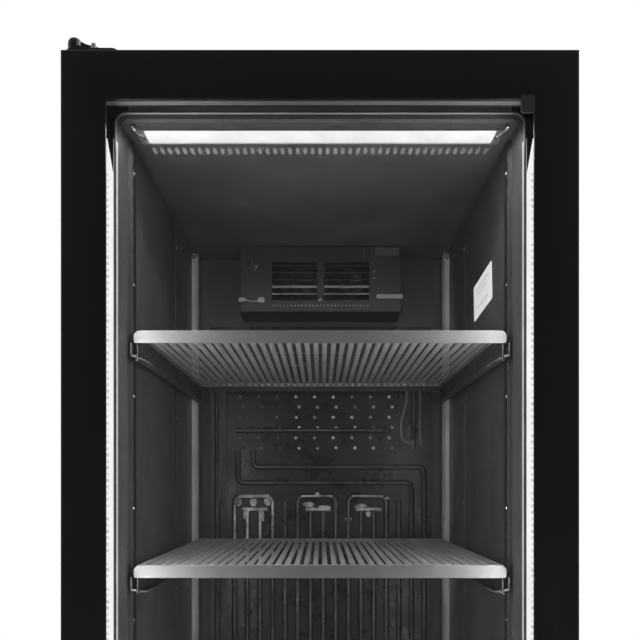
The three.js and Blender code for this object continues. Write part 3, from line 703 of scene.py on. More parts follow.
def compressor():
    cx, cd, base_z = -110, 430, span("compressor")[2][0]
    bm = bmesh.new()
    pot = [(0, 12), (52, 12), (62, 15), (69, 24), (73, 40), (74, 60), (74, 92), (76, 93), (76, 97)]
    pot += [(74, 98), (73.5, 110), (71, 128), (64, 144), (52, 156), (34, 163), (14, 166), (0, 166)]
    add_turned(bm, (cx, cd, base_z), pot, segments=56)
    add_prism(bm, rounded((cx + 66, cx + 99), (base_z + 58, base_z + 120), 5), "depth", (cd - 28, cd + 28))
    piece("compressor_pot", bm, ENAMEL, bevel=0.8, replaces=["compressor"])

    bm = bmesh.new()
    plan = rounded((cx - 105, cx + 105), (cd - 55, cd + 55), 14)
    add_prism(bm, plan, "z", (base_z + 10, base_z + 12.4))
    piece("compressor_mount", bm, ZINC, bevel=0.4)

    bm, bolts = bmesh.new(), bmesh.new()
    for dx, dd in grid((-85, 85), (-40, 40)):
        spot = (cx + dx, cd + dd, base_z)
        mount = [(0, 0), (12, 0), (12, 4), (10, 5), (12, 6.5), (12, 9.9), (0, 9.9)]
        add_turned(bm, spot, mount, segments=24)
        add_turned(bolts, spot, [(0, 12.4), (6.5, 12.4), (6.5, 16.5), (5.6, 17.5), (0, 17.5)], segments=6)
    piece("compressor_rubbers", bm, RUBBER)
    piece("compressor_bolts", bolts, BRIGHT_STEEL)

    bm = bmesh.new()
    top = base_z + 163
    suction = [(cx - 40, cd + back, z) for back, z in ((0, top - 14), (0, 252), (150, 254), (245, 254))]
    discharge = [(cx - 66, cd - 20, base_z + 60), (cx - 92, cd - 20, base_z + 60), (cx - 92, cd - 20, 224)]
    discharge += [(cx - 92, 240, 224), (cx - 36, 205, 224), (cx - 36, 112, 224)]
    liquid = [(40, 118, 104), (60, 240, 90), (60, 420, 90), (20, 560, 120), (20, 600, 250)]
    for path, radius in ((suction, 4.8), (discharge, 3.2), (liquid, 3.2)):
        add_tube(bm, bent(path, 22), radius, 12)
    drier = [(0, 0), (4, 0), (11, 12), (11, 88), (4, 100), (0, 100)]
    add_turned(bm, (60, 280, 90), drier, "depth", 20)
    piece("refrigerant_pipes", bm, COPPER)


def condenser_coil():
    x, depth, z = span("condenser_coil")
    bm = bmesh.new()
    fins = 62
    left, right = x[0] + 13, x[1] - 13
    for i in range(fins):
        cx = left + (right - left) * i / (fins - 1)
        add_block(bm, (cx - 0.35, cx + 0.35), (78, 130), (z[0] + 12, z[1] - 4))
    piece("condenser_fins", bm, FIN_ALUMINIUM, replaces=["condenser_coil"])
    bm = bmesh.new()
    for cx in (x[0] + 9, x[1] - 11):
        add_block(bm, (cx, cx + 2), (depth[0], depth[1]), (z[0] + 4, z[1]))
    add_block(bm, (x[0] + 9, x[1] - 9), (96, 110), (z[0], z[0] + 6))
    piece("condenser_end_plates", bm, ZINC, bevel=0.3)
    bm = bmesh.new()
    for d in (92, 116):
        levels = [z[0] + 24 + i * 21 for i in range(8)]
        for level in levels:
            add_tube(bm, [(x[0] + 8, d, level), (x[1] - 8, d, level)], 4.4, 10)
        for i, (low, high) in enumerate(zip(levels, levels[1:])):  # bends, left and right in turn
            cx, out = (x[1] - 9, 8.5) if i % 2 else (x[0] + 9, -8.5)
            loop = [(cx, d, low), (cx + out, d, low), (cx + out, d, high), (cx, d, high)]
            add_tube(bm, bent(loop, 9), 4.4, 10)
    piece("condenser_tubes", bm, COPPER)


def fan_rotor(node, body, hub, radius, blades, pitch, depths, material, name):
    """A hub with swept, twisted blades, on its shaft."""
    cx, _, cz = pin(body)
    d0, d1 = depths
    middle = (d0 + d1) / 2
    bm = bmesh.new()
    cap = [(0, d0), (hub * 0.6, d0), (hub * 0.92, d0 + 2), (hub, d0 + 5), (hub, d1), (3, d1)]
    cap += [(3, d1 + 10), (0, d1 + 10)]
    add_turned(bm, (cx, 0, cz), cap, "depth", 32)
    rows, columns = 6, 8
    for b in range(blades):
        base = 2 * math.pi * b / blades
        sheets = []
        for face in (-0.8, 0.8):
            grid = []
            for i in range(rows + 1):
                r = hub * 0.9 + (radius - hub * 0.9) * i / rows
                half = math.radians(17 + 12 * math.sin(math.pi * (0.25 + 0.6 * i / rows)))
                sweep = math.radians(10) * (i / rows) ** 2
                twist = math.radians(pitch - 8 * i / rows)
                line = []
                for k in range(columns + 1):
                    u = 2 * k / columns - 1
                    angle = base + sweep + half * u
                    lift = math.tan(twist) * half * u * r * 0.55 - 1.6 * (1 - u * u)
                    level = middle + lift + face * (1 - 0.6 * u * u)
                    place = at(cx + r * math.sin(angle), level, cz + r * math.cos(angle))
                    line.append(bm.verts.new(place))
                grid.append(line)
            sheets.append(grid)
        for grid in sheets:
            for i in range(rows):
                for k in range(columns):
                    bm.faces.new((grid[i][k], grid[i][k + 1], grid[i + 1][k + 1], grid[i + 1][k]))
        rims = []
        for g in sheets:
            ends = [line[-1] for line in g[1:-1]], [line[0] for line in g[-2:0:-1]]
            rims.append(g[0] + ends[0] + g[-1][::-1] + ends[1])
        join_rings(bm, rims)
    piece(name, bm, material, body, replaces=[node])


def fans():
    name = "condenser_fan"
    fan_rotor(f"{name}_blades", name, 20, 80, 5, 26, (153, 177), ALUMINIUM, f"{name}_rotor")
    for label in SIDES:
        node, name = f"fan_blades_{label}", f"fan_rotor_{label}"
        fan_rotor(node, f"fan_{label}", 13, 39, 7, 30, (575, 591), DARK_PLASTIC, name)
        repaint(f"fan_motor_{label}", DARK_PLASTIC, 0.4)


# ---- evaporator and its fan housing


# painted highlight patches on the pipes: x, z, half width and half height
HIGHLIGHT_PATCHES = [(-190, 1360, 9, 13), (-155, 1358, 8, 12), (-122, 1360, 9, 12), (-172, 1330, 7, 16)]
HIGHLIGHT_PATCHES += [(-136, 1326, 6, 18), (-28, 1352, 14, 6), (8, 1345, 16, 5), (-8, 1372, 7, 8)]
HIGHLIGHT_PATCHES += [(93, 1346, 15, 8), (64, 1318, 7, 12), (110, 1330, 6, 8), (150, 1366, 9, 4)]


def evaporator():
    x, depth, z = span("evaporator_plate")
    face = depth[0] + 2.5
    bm = bmesh.new()
    add_prism(bm, rounded(x, z, 6), "depth", (face, face + 2))
    boss = depth[1] - face - 1.2
    for cx, cz in grid((-230, 230), (390, 1715)):
        add_turned(bm, (cx, face + 1, cz), [(0, 0), (8, 0), (8, boss), (0, boss)], "depth", 20)

    def lay(mesh, line, rise, radius, segments=8):
        """A bead of painted highlight along an (x, z) line on the plate."""
        add_tube(mesh, [(a, face - rise, b) for a, b in line], radius, segments)

    wide = [(6.5, -0.5), (6.5, 0), (4.6, 1.9), (3.4, 2.4), (-3.4, 2.4), (-4.6, 1.9), (-6.5, 0), (-6.5, -0.5)]
    first, pitch = -227.0, 29.1
    low, crown = 392, 1370
    highlight_line = crown - 150  # heavy painted highlights above it
    column = [first + pitch * k for k in range(17)]
    # painted highlights: light beads along the crests of the channels, brightest on the first group
    highlight_beads, faint_highlight_beads = bmesh.new(), bmesh.new()
    for start in (1, 6, 10):
        heavy = start == 1
        for step, top in ((0, crown), (1, crown - pitch)):
            left, right = column[start + step], column[start + 3 - step]
            path = bent([(left, low), (left, top), (right, top), (right, low)], 12 if step else 16, 6)
            add_ridge(bm, path, wide, face)
            crest = [(left, highlight_line), *(p for p in path if p[1] > highlight_line), (right, highlight_line)]
            lay(highlight_beads if heavy else faint_highlight_beads, crest, 1.6, 3.2 if heavy else 2.1)
            for cx in (left, right):
                lay(faint_highlight_beads, [(cx, low + 6), (cx, highlight_line)], 1.5, 1.7, 6)
        left, right = column[start] + 8, column[start + 3] - 8
        lay(highlight_beads, [(left, crown + 1), (right, crown + 1)], 1.4, 4 if heavy else 2.4)
        lay(highlight_beads, [(left + 10, crown - pitch), (right - 4, crown - pitch)], 1.4, 4)
    for cx, cz, *size in HIGHLIGHT_PATCHES:
        highlight_patch = [(0, -2.6), (0.5, -2.2), (0.85, -1.2), (1, 0.3), (0, 0.3)]
        add_turned(highlight_beads, (cx, face, cz), highlight_patch, "depth", 16, size)
    for k in (0, 5, 14):
        add_ridge(bm, [(column[k], low), (column[k], crown - 8)], wide, face)
        lay(faint_highlight_beads, [(column[k], low + 6), (column[k], crown - 12)], 1.5, 1.6, 6)
    edge = column[0] - 12
    runs = [
        [(column[15], low), (column[15], 1402), (-190, 1402), (-190, 1474)],
        [(column[16], low), (column[16], 1438), (-156, 1438), (-156, 1474)],
        [(-195, 1523), (156, 1523)],
        [(edge, low), (edge, 1700), (215, 1700), (215, 1480)],
        [(-190, 1615), (-190, 1672), (185, 1672), (185, 1600)],
    ]
    for run in runs:
        path = bent(run, 16, 6)
        add_ridge(bm, path, wide, face)
        lay(faint_highlight_beads, path, 1.6, 1.5, 6)
    piece("evaporator_sheet", bm, EVAPORATOR, replaces=["evaporator_plate"], sharp=50)
    piece("evaporator_crest_highlights", highlight_beads, CREST_HIGHLIGHT_PAINT)
    piece("evaporator_faint_highlights", faint_highlight_beads, FAINT_HIGHLIGHT_PAINT)

    # the store of liquid: a field of weld spots in staggered rows, painted light grey as painted glints
    bm, faint = bmesh.new(), bmesh.new()
    for row in range(6):
        for k in range(9):
            cx = -186 + k * 43 + (7 if row % 2 else 0)
            cz = 1600 - row * 23.6
            cap = [(0, -2.2), (1.8, -1.9), (3.2, -1), (4, 0.4), (0, 0.4)]
            add_turned(faint if k < 3 else bm, (cx, face, cz), cap, "depth", 14)
    piece("evaporator_spots", bm, CREST_HIGHLIGHT_PAINT)
    piece("evaporator_faint_spots", faint, FAINT_HIGHLIGHT_PAINT)

    bm = bmesh.new()
    edge = (x[0], x[0] + 38)
    add_block(bm, edge, (face - 1.2, face), (z[0] + 4, z[1] - 40))
    for cx in (x[0] + 3, x[0] + 31, x[0] + 37):
        add_tube(bm, [(cx, face - 1.2, z[0] + 4), (cx, face - 1.2, z[1] - 40)], 1.4, 8)
    piece("evaporator_edge_strip", bm, EDGE_GREY)

    bm = bmesh.new()
    suction = [(198, 8, 1640), (198, 8, 1590), (184, 7, 1540), (186, 7, 1500), (206, 7, 1490)]
    suction += [(212, 6, 1500), (212, 2, 1478)]
    capillary = [(228, 6, 1640), (228, 6, 1520), (230, 4, 1488)]
    for path, radius, segments in ((suction, 2.6, 12), (capillary, 1.7, 10)):
        add_tube(bm, bent([(a, face - rise, b) for a, rise, b in path], 14), radius, segments)
    piece("evaporator_pipes", bm, PIPE_GREY)


def fan_housing():
    x, depth, z = span("fan_housing")
    front = depth[0]
    wall = 2.5
    low, high = 1802, 1885  # of the two openings
    inner, outer = 7, 107
    bm = bmesh.new()
    add_surround(bm, x, (front, front + wall), z, (-outer, outer), (low, high))
    add_block(bm, (-inner, inner), (front, front + wall), (low, high))
    rim, beyond = (front - 1.5, front + 1), (low - 3, high + 3)
    add_pair(bm, x[1] - wall, x[1], (front, depth[1]), z)
    add_pair(bm, outer - 1, outer + 1.5, rim, beyond)
    add_pair(bm, inner - 1.5, inner + 1, rim, beyond)
    for cz in (low - 3, high + 0.5):
        add_pair(bm, inner, outer, rim, (cz, cz + 2.5))
    for cz in (z[0], z[1] - wall):
        add_block(bm, x, (front, depth[1]), (cz, cz + wall))
    piece("fan_cover", bm, HOUSING_PLASTIC, bevel=0.7, replaces=["fan_housing"])

    # the middle louvre is painted light grey: a painted highlight along its edge
    rows = {"lower": ((1813.5,), 2.4, RAIL_STEEL), "middle": ((1828,), 4.6, LOUVRE_PAINTED_HIGHLIGHT)}
    rows["upper"] = ((1844.5, 1860, 1875.5), 2.4, DARK_PLASTIC)
    for name, (levels, lip, material) in rows.items():
        bm = bmesh.new()
        for level in levels:
            blade = [(front - 0.6, level + lip), (front - 0.6, level)]
            blade += [(front + 9, level + 8), (front + 9, level + 9.4)]
            for side in SIDES.values():
                add_prism(bm, blade, "x", mirrored(side, inner, outer))
        piece(f"fan_louvres_{name}", bm, material, bevel=0.3)

    bm = bmesh.new()
    for i in range(27):
        cx = -104 + i * 8
        stud = [(0, 0), (1.9, 0), (1.9, -1), (1.2, -1.5), (0, -1.5)]
        add_turned(bm, (cx, front, 1789.5), stud, "depth", 10)
    add_screw(bm, (117, front, 1864), 2.2, 1.5)
    add_screw(bm, (117, front, 1850), 2.2, 1.5)
    add_screw(bm, (0, front, 1802), 4.4, 3)
    piece("fan_cover_studs", bm, DULL_STEEL)

    # clips at the housing's lower corners
    bm = bmesh.new()
    clips = [((122, 180), (1803, 1813), 4, 6), ((-180, -164), (1797, 1806), 3, 4)]
    clips += [((-137, -122), (1794, 1806), 4, 6)]
    for across, up, radius, rise in clips:
        add_prism(bm, rounded(across, up, radius), "depth", (front - rise, front))
    wire = [(-166, front - 2, 1801), (-150, front - 3, 1797), (-134, front - 3, 1799)]
    add_tube(bm, bent(wire, 6), 2, 8)
    piece("fan_cover_clips", bm, DULL_STEEL, bevel=0.8)

    bm = bmesh.new()
    add_prism(bm, rounded((119, 171), (1899, 1917), 2), "depth", (front - 1.2, front))
    for i in range(5):
        add_block(bm, (126 + i * 9, 130 + i * 9), (front - 2.2, front), (1901, 1915))
    add_block(bm, (94.5, 96.5), (front - 3, front), (1894, 1918))
    piece("fan_cover_vents", bm, LINER, bevel=0.4)

    knob = span("thermostat_knob")
    cx, cz = sum(knob[0]) / 2, sum(knob[2]) / 2
    bm = bmesh.new()
    back = front - 0.3
    dial = [(0, -6), (11, -6), (13, -5), (14, -2.5), (14, 0), (0, 0)]
    add_turned(bm, (cx, back, cz), dial, "depth", 40)
    add_prism(bm, rounded((cx - 3, cx + 3), (cz - 12.5, cz + 12.5), 2.5), "depth", (back - 14, back - 5))
    knob = ["thermostat_knob"]
    piece("thermostat_dial", bm, KNOB_GREY, "thermostat", bevel=0.8, replaces=knob)
    bm = bmesh.new()
    add_turned(bm, (cx + 7.5, back - 6, cz - 2), [(0, -1.2), (2.2, -0.8), (2.8, 0.2), (0, 0.2)], "depth", 16)
    piece("thermostat_pointer", bm, BRIGHT_STEEL, "thermostat")
    bm = bmesh.new()
    for i in range(8):
        angle = math.radians(-135 + i * 270 / 7)
        spot = (cx + 18 * math.sin(angle), front, cz + 18 * math.cos(angle))
        add_turned(bm, spot, [(0, -0.5), (1, -0.4), (1.1, 0.1), (0, 0.1)], "depth", 10)
    piece("thermostat_marks", bm, KNOB_GREY)


# ---- pilasters, rails and shelves


def pilasters():
    slot_pitch, slot_height = 25.4, 14
    for row in ("front", "rear"):
        for label, side in SIDES.items():
            node = f"pilaster_{row}_{label}"
            x, depth, z = span(node)
            near, far = from_middle(x)
            bm = bmesh.new()
            nose = 0
            if row == "front":  # a low strip, sloping up from the wall
                near, nose = far - 5.4, 9
                slope = [(far, depth[0]), (near, depth[0] + nose)]
                slope += [(near + 1.2, depth[0] + nose + 0.6), (far, depth[0] + 1.2)]
                add_prism(bm, [(side * a, b) for a, b in slope], "z", z)
            skin = mirrored(side, near, near + 1.2)
            add_block(bm, skin, (depth[0] + nose, depth[0] + 7 + nose * 0.3), z)
            add_block(bm, skin, (depth[1] - 7, depth[1]), z)
            for i in range(int((z[1] - z[0]) / slot_pitch)):
                low = z[0] + i * slot_pitch + slot_height
                high = min(low + slot_pitch - slot_height, z[1])
                add_block(bm, skin, (depth[0] + 7, depth[1] - 7), (low, high))
            if not nose:
                add_block(bm, mirrored(side, near, far), (depth[0], depth[0] + 1.2), z)
            add_block(bm, mirrored(side, near, far), (depth[1] - 1.2, depth[1]), z)
            # painted light and shade: the rear strips near white for the lamps' light on them, the front
            # strips black for their shade
            paint = PILASTER_PAINTED_LIGHT if row == "rear" else CABINET_BLACK
            piece(f"{node}_strip", bm, paint, replaces=[node])

    bm = bmesh.new()
    for side in SIDES.values():
        for i in range(9):
            add_screw(bm, (side * 283.8, 130, 1699 - (i - 1) * SCREW_PITCH), 2.6, 1.8, "x", -side)
    piece("pilaster_screws", bm, BRIGHT_STEEL)

    # spring clips that pin the rear strips to the ceiling
    bm = bmesh.new()
    depth = span("pilaster_rear_left")[1][0]
    for side in SIDES.values():
        for lean in (-1, 1):
            points = [(side * 283, depth - 2, CEILING - 18), (side * 283 + lean * 7, depth - 3, CEILING - 2)]
            add_tube(bm, points, 1.6, 8)
    piece("pilaster_clips", bm, BRIGHT_STEEL)


def shelf_rails(index):
    for label, side in SIDES.items():
        node = f"shelf_rail_{label}_{index}"
        x, depth, z = span(node)
        hook = from_middle(x)[1]
        outer = hook - 7
        front, back, low = depth[0] + 3, depth[1], z[0]
        sheet, foot, slant = 1.6, 13, 50
        bm = bmesh.new()
        web = [(front + 10, low), (back, low), (back, low + 34), (front + 24, low + 34)]
        web += [(front + 10, low + 20)]
        add_prism(bm, web, "x", mirrored(side, outer - sheet, outer))
        plan = [(outer, front), (outer - 3, front), (outer - foot, front + slant)]
        plan += [(outer - foot, back), (outer, back)]
        add_prism(bm, [(side * a, b) for a, b in plan], "z", (low, low + sheet))
        roll = [(outer - foot, front + slant), (outer - foot + 1.5, back)]
        add_tube(bm, [(side * a, b, low + 1.2) for a, b in roll], 1.7, 8)
        hooks = bmesh.new()
        add_block(hooks, mirrored(side, outer - sheet, hook), (front - 3, front + 2), (low + 6, low + 8))
        add_block(hooks, mirrored(side, hook - sheet, hook), (front - 3, front + 2), (low + 6, low + 26))
        arm = [(hook - 1, front - 1, low + 7), (outer - 1, front + 1, low + 5.6)]
        arm += [(outer - 8, front + 7, low + 3)]
        arm += [(outer - foot + 1, front + 18, low + 1.8), (outer - foot, front + slant, low + 1.6)]
        add_tube(hooks, bent([(side * a, b, c) for a, b, c in arm], 6), 1.7, 8)
        piece(f"{node}_hook", hooks, HOOK_PAINT, bevel=0.3)
        piece(f"{node}_section", bm, RAIL_PAINT, replaces=[node])


def shelf(index):
    node = f"shelf_{index}"
    x, depth, z = span(node)
    top = z[1]
    lip_half, half = x[1], x[1] - 4
    pitch, gap, slats = 14.5, 6.5, 36
    front, back = depth
    slots_from, slots_to = front + 13, back - 15
    bm = bmesh.new()
    bar = [(-4, -1.6), (-3.3, -0.4), (-1.8, 0), (1.8, 0), (3.3, -0.4), (4, -1.6)]
    bar += [(3.6, -4.9), (2.2, -6), (-2.2, -6), (-3.6, -4.9)]
    for i in range(slats):
        cx = (i - (slats - 1) / 2) * pitch
        add_prism(bm, [(cx + a, top + b) for a, b in bar], "depth", (slots_from - 1, slots_to + 1))
    edge = slats / 2 * pitch + gap / 2
    add_block(bm, (-half, half), (front + 2.3, slots_from), (top - 6, top - 0.2))
    add_block(bm, (-half, half), (slots_to, back), (top - 6, top))
    add_pair(bm, edge, half, (slots_from, slots_to), (top - 6, top))
    # painted light and shade: the lip is painted darker than the slats, the slats lighter for the light on
    # their undersides
    lip = bmesh.new()
    outline = rounded((-lip_half, lip_half), (top - 19, top), [3, 3, 9, 9], 5)
    add_prism(lip, outline, "depth", (front, front + 2.4))
    piece(f"{node}_lip", lip, LIP_GREY_PAINTED_SHADE, node, bevel=0.7, segments=3)
    piece(f"{node}_tray", bm, SLAT_GREY_PAINTED_LIGHT, node, bevel=0.7, segments=3, replaces=[node])

    # painted shade: the side flanges are the same coat, painted near black
    bm = bmesh.new()
    add_pair(bm, half - 1.6, half, (front + 4, back), (z[0], top - 6.2))
    add_pair(bm, half - 5, half - 1, (front + 6, back - 1), (z[0], z[0] + 1.6))
    add_block(bm, (-half, half), (back - 1.6, back), (top - 16, top - 6.2))
    piece(f"{node}_flanges", bm, SHELF_SIDE_PAINTED_SHADE, node, bevel=0.4)


# ---- lamps


def top_lamp():
    repaint("top_lamp_housing", ALUMINIUM, 0.5)
    x, depth, z = span("top_lamp_lens")
    x = (x[0] + 5, x[1] - 5)
    bm = bmesh.new()
    dip = 0.4
    outline = [(depth[0], z[0] + 2), (depth[0], z[0] - dip + 1.5), (depth[0] + 2, z[0] - dip)]
    outline += [(depth[1] - 2, z[0] - dip), (depth[1], z[0] - dip + 1.5), (depth[1], z[0] + 2)]
    add_prism(bm, outline, "x", x)
    piece("top_lamp_diffuser", bm, TOP_GLOW, replaces=["top_lamp_lens"])

    # a row of small glowing domes on the ceiling: painted light, for the scallops of the top lamp's light on
    # the ceiling
    bm = bmesh.new()
    count = 45
    for i in range(count):
        cx = (i - (count - 1) / 2) * 11.8
        cap = [(0, -1.2), (2.2, -0.9), (3.2, -0.1), (0, 0)]
        add_turned(bm, (cx, 161, CEILING), cap, "z", 12, (1, 3.2))
    piece("top_lamp_scallops", bm, SCALLOP_PAINTED_LIGHT)

    bm = bmesh.new()
    for side in SIDES.values():
        end = x[1]
        lead = [(1, 102, 1), (8, 98, 0), (13, 90, 2), (17, 84, 4)]
        add_tube(bm, bent([(side * (end + a), b, z[0] + c) for a, b, c in lead], 4), 2.4, 8)
        add_block(bm, mirrored(side, end + 0.5, end + 7), (96, 112), (z[0] - 1, z[0] + 4))
        add_screw(bm, (side * (end + 16), 90, CEILING - 1), 3.2, 3, "z", -1)
    piece("top_lamp_plugs", bm, BRIGHT_STEEL, bevel=0.4)


def side_lamps():
    """Bars set in the face frame: a lit diffuser with a black, pointed wedge in its upper end, a painted
    shade for the shadow the lamp's end cap casts.
    """
    for label, side in SIDES.items():
        node = f"side_lamp_{label}"
        x, depth, z = span(node)
        near, far = from_middle(x)
        notch = z[1] - 45
        middle = near + 2.8
        lit = [(middle, z[0]), (far, z[0]), (far, z[1]), (far - 2.8, z[1]), (middle, notch)]
        dull = [(near, z[0]), (middle, z[0]), (middle, notch), (near + 2.4, z[1]), (near, z[1])]
        painted_shade_wedge = [(far - 2.4, z[1]), (middle, notch - 3), (near + 2.4, z[1])]
        front, back = depth
        parts = {"diffuser": (lit, (front + 0.6, back), LAMP_GLOW)}
        parts["reflector"] = (dull, (front + 0.8, back), LAMP_DIM)
        # painted shade: a black wedge where the lamp's upper end is in shadow
        parts["cap"] = (painted_shade_wedge, (front, back - 1), FACE_BLACK)
        for name, (outline, ends, material) in parts.items():
            bm = bmesh.new()
            add_prism(bm, [(side * a, b) for a, b in outline], "depth", ends)
            if name == "diffuser":
                piece(f"{node}_{name}", bm, material, replaces=[node])
            else:
                piece(f"{node}_{name}", bm, material)
        bm = bmesh.new()
        pitch = 9
        for i in range(int((notch - z[0]) / pitch)):
            spot = (side * (far - 2.2), front + 0.6, z[0] + 8 + i * pitch)
            add_turned(bm, spot, [(0, -0.9), (2, -0.6), (2.8, 0.1), (0, 0.1)], "depth", 10)
        piece(f"{node}_beads", bm, BEAD_GLOW)


# ---- door


def door():
    x, _, z = span("door_frame")
    half = x[1]
    bm = bmesh.new()
    profile = [(0, 3.5), (0.5, 1.7), (1.7, 0.5), (3.5, 0), (58.6, 0), (59.7, 0.5), (60, 1.4)]
    profile += [(60, 4.2), (59.2, 5), (43, 5), (43, 30), (45, 30), (45, 43.5), (43.5, 45), (41.5, 45)]
    profile += [(41, 43.6), (9, 43.6), (8.5, 45), (1.5, 45), (0, 43.5)]
    add_mitred(bm, profile, half, z, 6, 52)
    piece("door_extrusion", bm, DOOR_BLACK, "door", replaces=["door_frame"], sharp=50)

    repaint("outer_glass", GLASS)
    repaint("inner_glass", GLASS)
    bm = bmesh.new()
    spacer = [(51, 9.8), (51.4, 9.8), (51.4, 18.6), (51, 18.6), (43, 18.6), (43, 9.8)]
    add_mitred(bm, spacer, half, z, 12, 45)
    piece("glass_spacer_bar", bm, SPACER_GREY, "door", replaces=["glass_spacer"])
    bm = bmesh.new()
    seal = [(50.6, 18.6), (50.2, 24.3), (43.6, 24.3), (43.6, 18.6)]
    add_mitred(bm, seal, half, z, 12, 45)
    piece("glass_edge_seal", bm, RUBBER, "door")

    gx, gd, gz = span("door_gasket")
    bm = bmesh.new()
    thick = gd[1] - gd[0]
    bellows = [(0.5, 0), (29.5, 0), (30, 1.2), (25, 2.4), (23, 4), (25.6, 6), (27, 8), (26.5, thick - 1)]
    bellows += [(25, thick), (6, thick), (4.5, thick - 1), (4, 8), (6.5, 6), (4, 4), (6.5, 2.4), (0, 1.2)]
    add_mitred(bm, [(inset, gd[0] + rise) for inset, rise in bellows], gx[1], gz)
    piece("gasket_bellows", bm, RUBBER, "door", replaces=["door_gasket"], sharp=60)

    # the corner key of the glazing bead, at the upper corner of the opening side
    bm = bmesh.new()
    edge = half - 60
    corner_top = z[1] - 66
    outline = rounded((edge - 17.5, edge + 0.4), (corner_top - 18, corner_top + 5), 3)
    add_prism(bm, outline, "depth", (-0.5, 3))
    add_turned(bm, (edge - 9, 0, corner_top - 7), [(0, -1.4), (4, -1.1), (5, 0), (0, 0)], "depth", 20)
    piece("glazing_corner_key", bm, FACE_GREY, "door", bevel=0.6)


def door_handle():
    x, depth, z = span("door_handle")
    middle, front = sum(x) / 2, depth[0]
    bm = bmesh.new()
    rings, count = [], 40
    for i in range(count + 1):
        t = i / count
        level = z[0] + (z[1] - z[0]) * t
        ease = min(1, min(t, 1 - t) * count / 3)
        fullness = max(math.sqrt(1 - (1 - ease) ** 2), 0.18)  # rounds off both ends
        ring = []
        for a, b in rounded((-11, 11), (0, 15), 6.5, 5):
            ring.append(bm.verts.new(at(middle + a * fullness, front + 7.5 + (b - 7.5) * fullness, level)))
        rings.append(ring)
    join_rings(bm, rings, capped=True)
    for low in (880, 1112):
        outline = rounded((middle - 8, middle + 8), (low, low + 28), 6, 5)
        add_prism(bm, outline, "depth", (front + 9, -1.5))
        add_prism(bm, rounded((middle - 11, middle + 11), (low - 3, low + 31), 8, 5), "depth", (-2.5, -0.2))
    piece("door_handle_grip", bm, HANDLE_BLACK, "door", replaces=["door_handle"])


def top_hinge():
    x, depth, _ = span("top_hinge")
    cx, cd, _ = pin("door")
    bm = bmesh.new()
    plan = rounded((x[0], x[1]), (depth[0], depth[1]), [11, 8, 6, 6], 6)
    add_prism(bm, plan, "z", (BODY_TOP + 3, BODY_TOP + 7))
    add_block(bm, (x[0] + 1, x[1] - 1), (66, depth[1] - 1), (BODY_TOP + 0.3, BODY_TOP + 3.5))
    rib = [(0, 6), (0, 24), (9, 22.5), (17, 18.6), (26, 16.5), (38, 13), (46, 6)]
    add_prism(bm, [(cx + a, BODY_TOP + b) for a, b in rib], "depth", (cd - 3.5, cd + 3.5))
    add_block(bm, (cx + 10, cx + 60), (cd + 12, cd + 15), (BODY_TOP + 6.5, BODY_TOP + 10))
    piece("top_hinge_plate", bm, HINGE_BLACK, bevel=0.7, replaces=["top_hinge"])

    bm = bmesh.new()
    dome = [(0, 6.5), (9.4, 6.5), (9.4, 20), (9, 22.5), (7.6, 25), (5.4, 26.8), (2.8, 27.8), (0, 28)]
    add_turned(bm, (cx, cd, BODY_TOP), dome, segments=40)
    add_turned(bm, (cx, cd, BODY_TOP), [(0, -22), (4.6, -22), (5, -21), (5, 6.6), (0, 6.6)], segments=28)
    piece("top_hinge_boss", bm, HINGE_BLACK)

    bm = bmesh.new()
    for d in (85, 108, 131):
        spot = (-300, d, BODY_TOP + 7)
        add_turned(bm, spot, [(0, 0), (8, 0), (8, 1), (0, 1)], segments=24)
        add_turned(bm, spot, [(0, 0.8), (6, 0.8), (6, 4.2), (5.2, 5), (0, 5)], segments=6)
    stop = [(0, 0), (3.8, 0), (3.8, 10), (3, 12.6), (0, 13.2)]
    add_turned(bm, (cx + 26, cd - 3, BODY_TOP + 6.5), stop, segments=20)
    add_turned(bm, (cx + 6.8, cd - 6.6, BODY_TOP + 13), [(0, 0), (2.6, 0.4), (2.6, 7.6), (0, 8)], segments=16)
    piece("top_hinge_screws", bm, BRIGHT_STEEL)


# ---- camera, light and floor

TOP_RADIANCE = 14
SIDE_RADIANCE = 82  # of the side lamps, for their light on the shelves and walls
CAMERA_DISTANCE = 839  # in front of the door
CAMERA_HEIGHT = 1392
CAMERA_SIDE = 2
LENS = 35.8


def camera():
    data = bpy.data.cameras.new("camera")
    made = linked("camera", data)
    made.location = at(CAMERA_SIDE, -CAMERA_DISTANCE, CAMERA_HEIGHT)
    made.rotation_euler = (math.radians(90), 0, 0)
    data.sensor_width = 36
    data.lens = LENS
    data.shift_x = -0.0023
    data.shift_y = 0.261
    data.clip_start = 0.01
    scene.camera = made


def area_light(name, place, direction, size, power, seen_in_gloss=True):
    data = bpy.data.lights.new(name, "AREA")
    data.shape = "RECTANGLE"
    data.size, data.size_y = (s * MM for s in size)
    data.energy = power
    made = linked(name, data)
    made.location = at(*place)
    made.rotation_mode = "QUATERNION"
    made.rotation_quaternion = Vector(direction).to_track_quat("-Z", "Y")
    made.visible_camera = False
    made.visible_glossy = seen_in_gloss


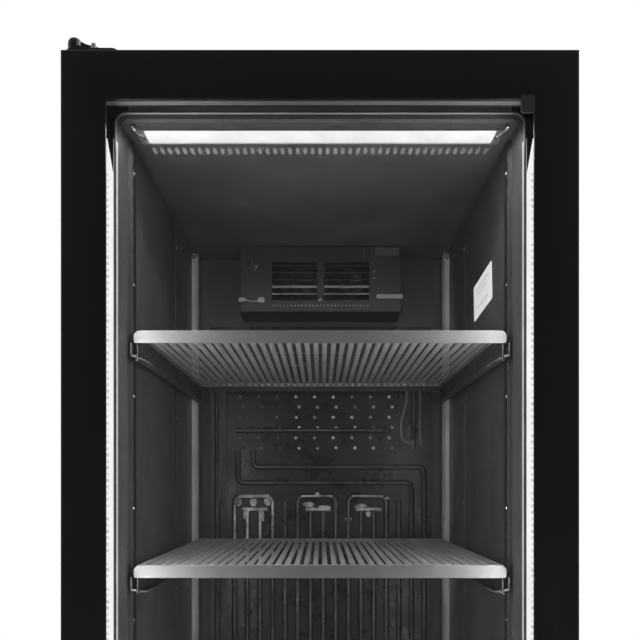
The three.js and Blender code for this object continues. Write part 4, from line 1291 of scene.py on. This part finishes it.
def lamp_light():
    """The light of the lamps themselves: their radiance times pi times their area, in watts."""

    def watts(radiance, length, width):
        return radiance * math.pi * length * width * MM * MM

    x, depth, z = span("top_lamp_lens")
    length, width = x[1] - x[0], depth[1] - depth[0]
    spot, power = (0, sum(depth) / 2, z[0] - 1.5), watts(TOP_RADIANCE, length, width)
    area_light("top_lamp_light", spot, (0, 0, -1), (length, width), power)

    low, high = span("side_lamp_right")[2]
    high -= 22  # the cap's black end, a painted shade
    size = (8, high - low)
    for side in SIDES.values():
        spot = (side * (WALL - 4.5), FACE + 3.5, (low + high) / 2)
        area_light(f"side_lamp_light_{side}", spot, (-side, 0.2, 0), size, watts(SIDE_RADIANCE, *size))


def studio():
    """A white backdrop for the camera, and a dimmer room that lights and is mirrored."""
    world = bpy.data.worlds.new("studio")
    scene.world = world
    world.use_nodes = True
    nodes, links = world.node_tree.nodes, world.node_tree.links
    backdrop = nodes["Background"]
    backdrop.inputs["Color"].default_value = (1, 1, 1, 1)
    backdrop.inputs["Strength"].default_value = 1.0
    room = nodes.new("ShaderNodeBackground")
    place = nodes.new("ShaderNodeTexCoord")
    axes = nodes.new("ShaderNodeSeparateXYZ")
    links.new(place.outputs["Generated"], axes.inputs["Vector"])
    fade = add_node(nodes, "MapRange", From_Min=-0.35, From_Max=0.8, To_Min=0.15, To_Max=0.9)
    links.new(axes.outputs["Y"], fade.inputs["Value"])
    links.new(fade.outputs["Result"], room.inputs["Strength"])
    seen = nodes.new("ShaderNodeLightPath").outputs["Is Camera Ray"]
    shader_mix(nodes, links, seen, room, backdrop, "World Output")

    area_light("soft_top", (0, 1100, 4200), (0, -0.1, -1), (4200, 3200), 260, seen_in_gloss=False)
    for label, side in SIDES.items():
        area_light(f"soft_{label}", (side * 2600, 500, 1900), (-side, -0.1, -0.15), (1400, 2400), 30)


def floor():
    """A disc of white paper that fades out well before its edge."""
    made = Finish("floor_paper", (0.86, 0.86, 0.855), 0.7)
    made.tint(made.noise(3, 3), 0.98, 1.02)
    away = made.vector("LENGTH", made.place).outputs["Value"]
    made.links.new(made.ranged(away, 1, 0, 0.9, 2.3), made.sockets["Alpha"])
    bm = bmesh.new()
    add_turned(bm, (0, 323, 0), [(0, -4), (2500, -4), (2500, 0), (0, 0)], segments=96)
    solid("floor", bm, made.material)


# ---- build

camera()
lamp_light()
studio()
floor()
scene.view_settings.view_transform = "Standard"

cabinet_shell()
wall_seams()
wall_label()
base()
front_grille()
levelling_feet()
compressor()
condenser_coil()
fans()
evaporator()
fan_housing()
pilasters()
for number in range(1, 5):
    shelf_rails(number)
    shelf(number)
top_lamp()
side_lamps()
door()
door_handle()
top_hinge()
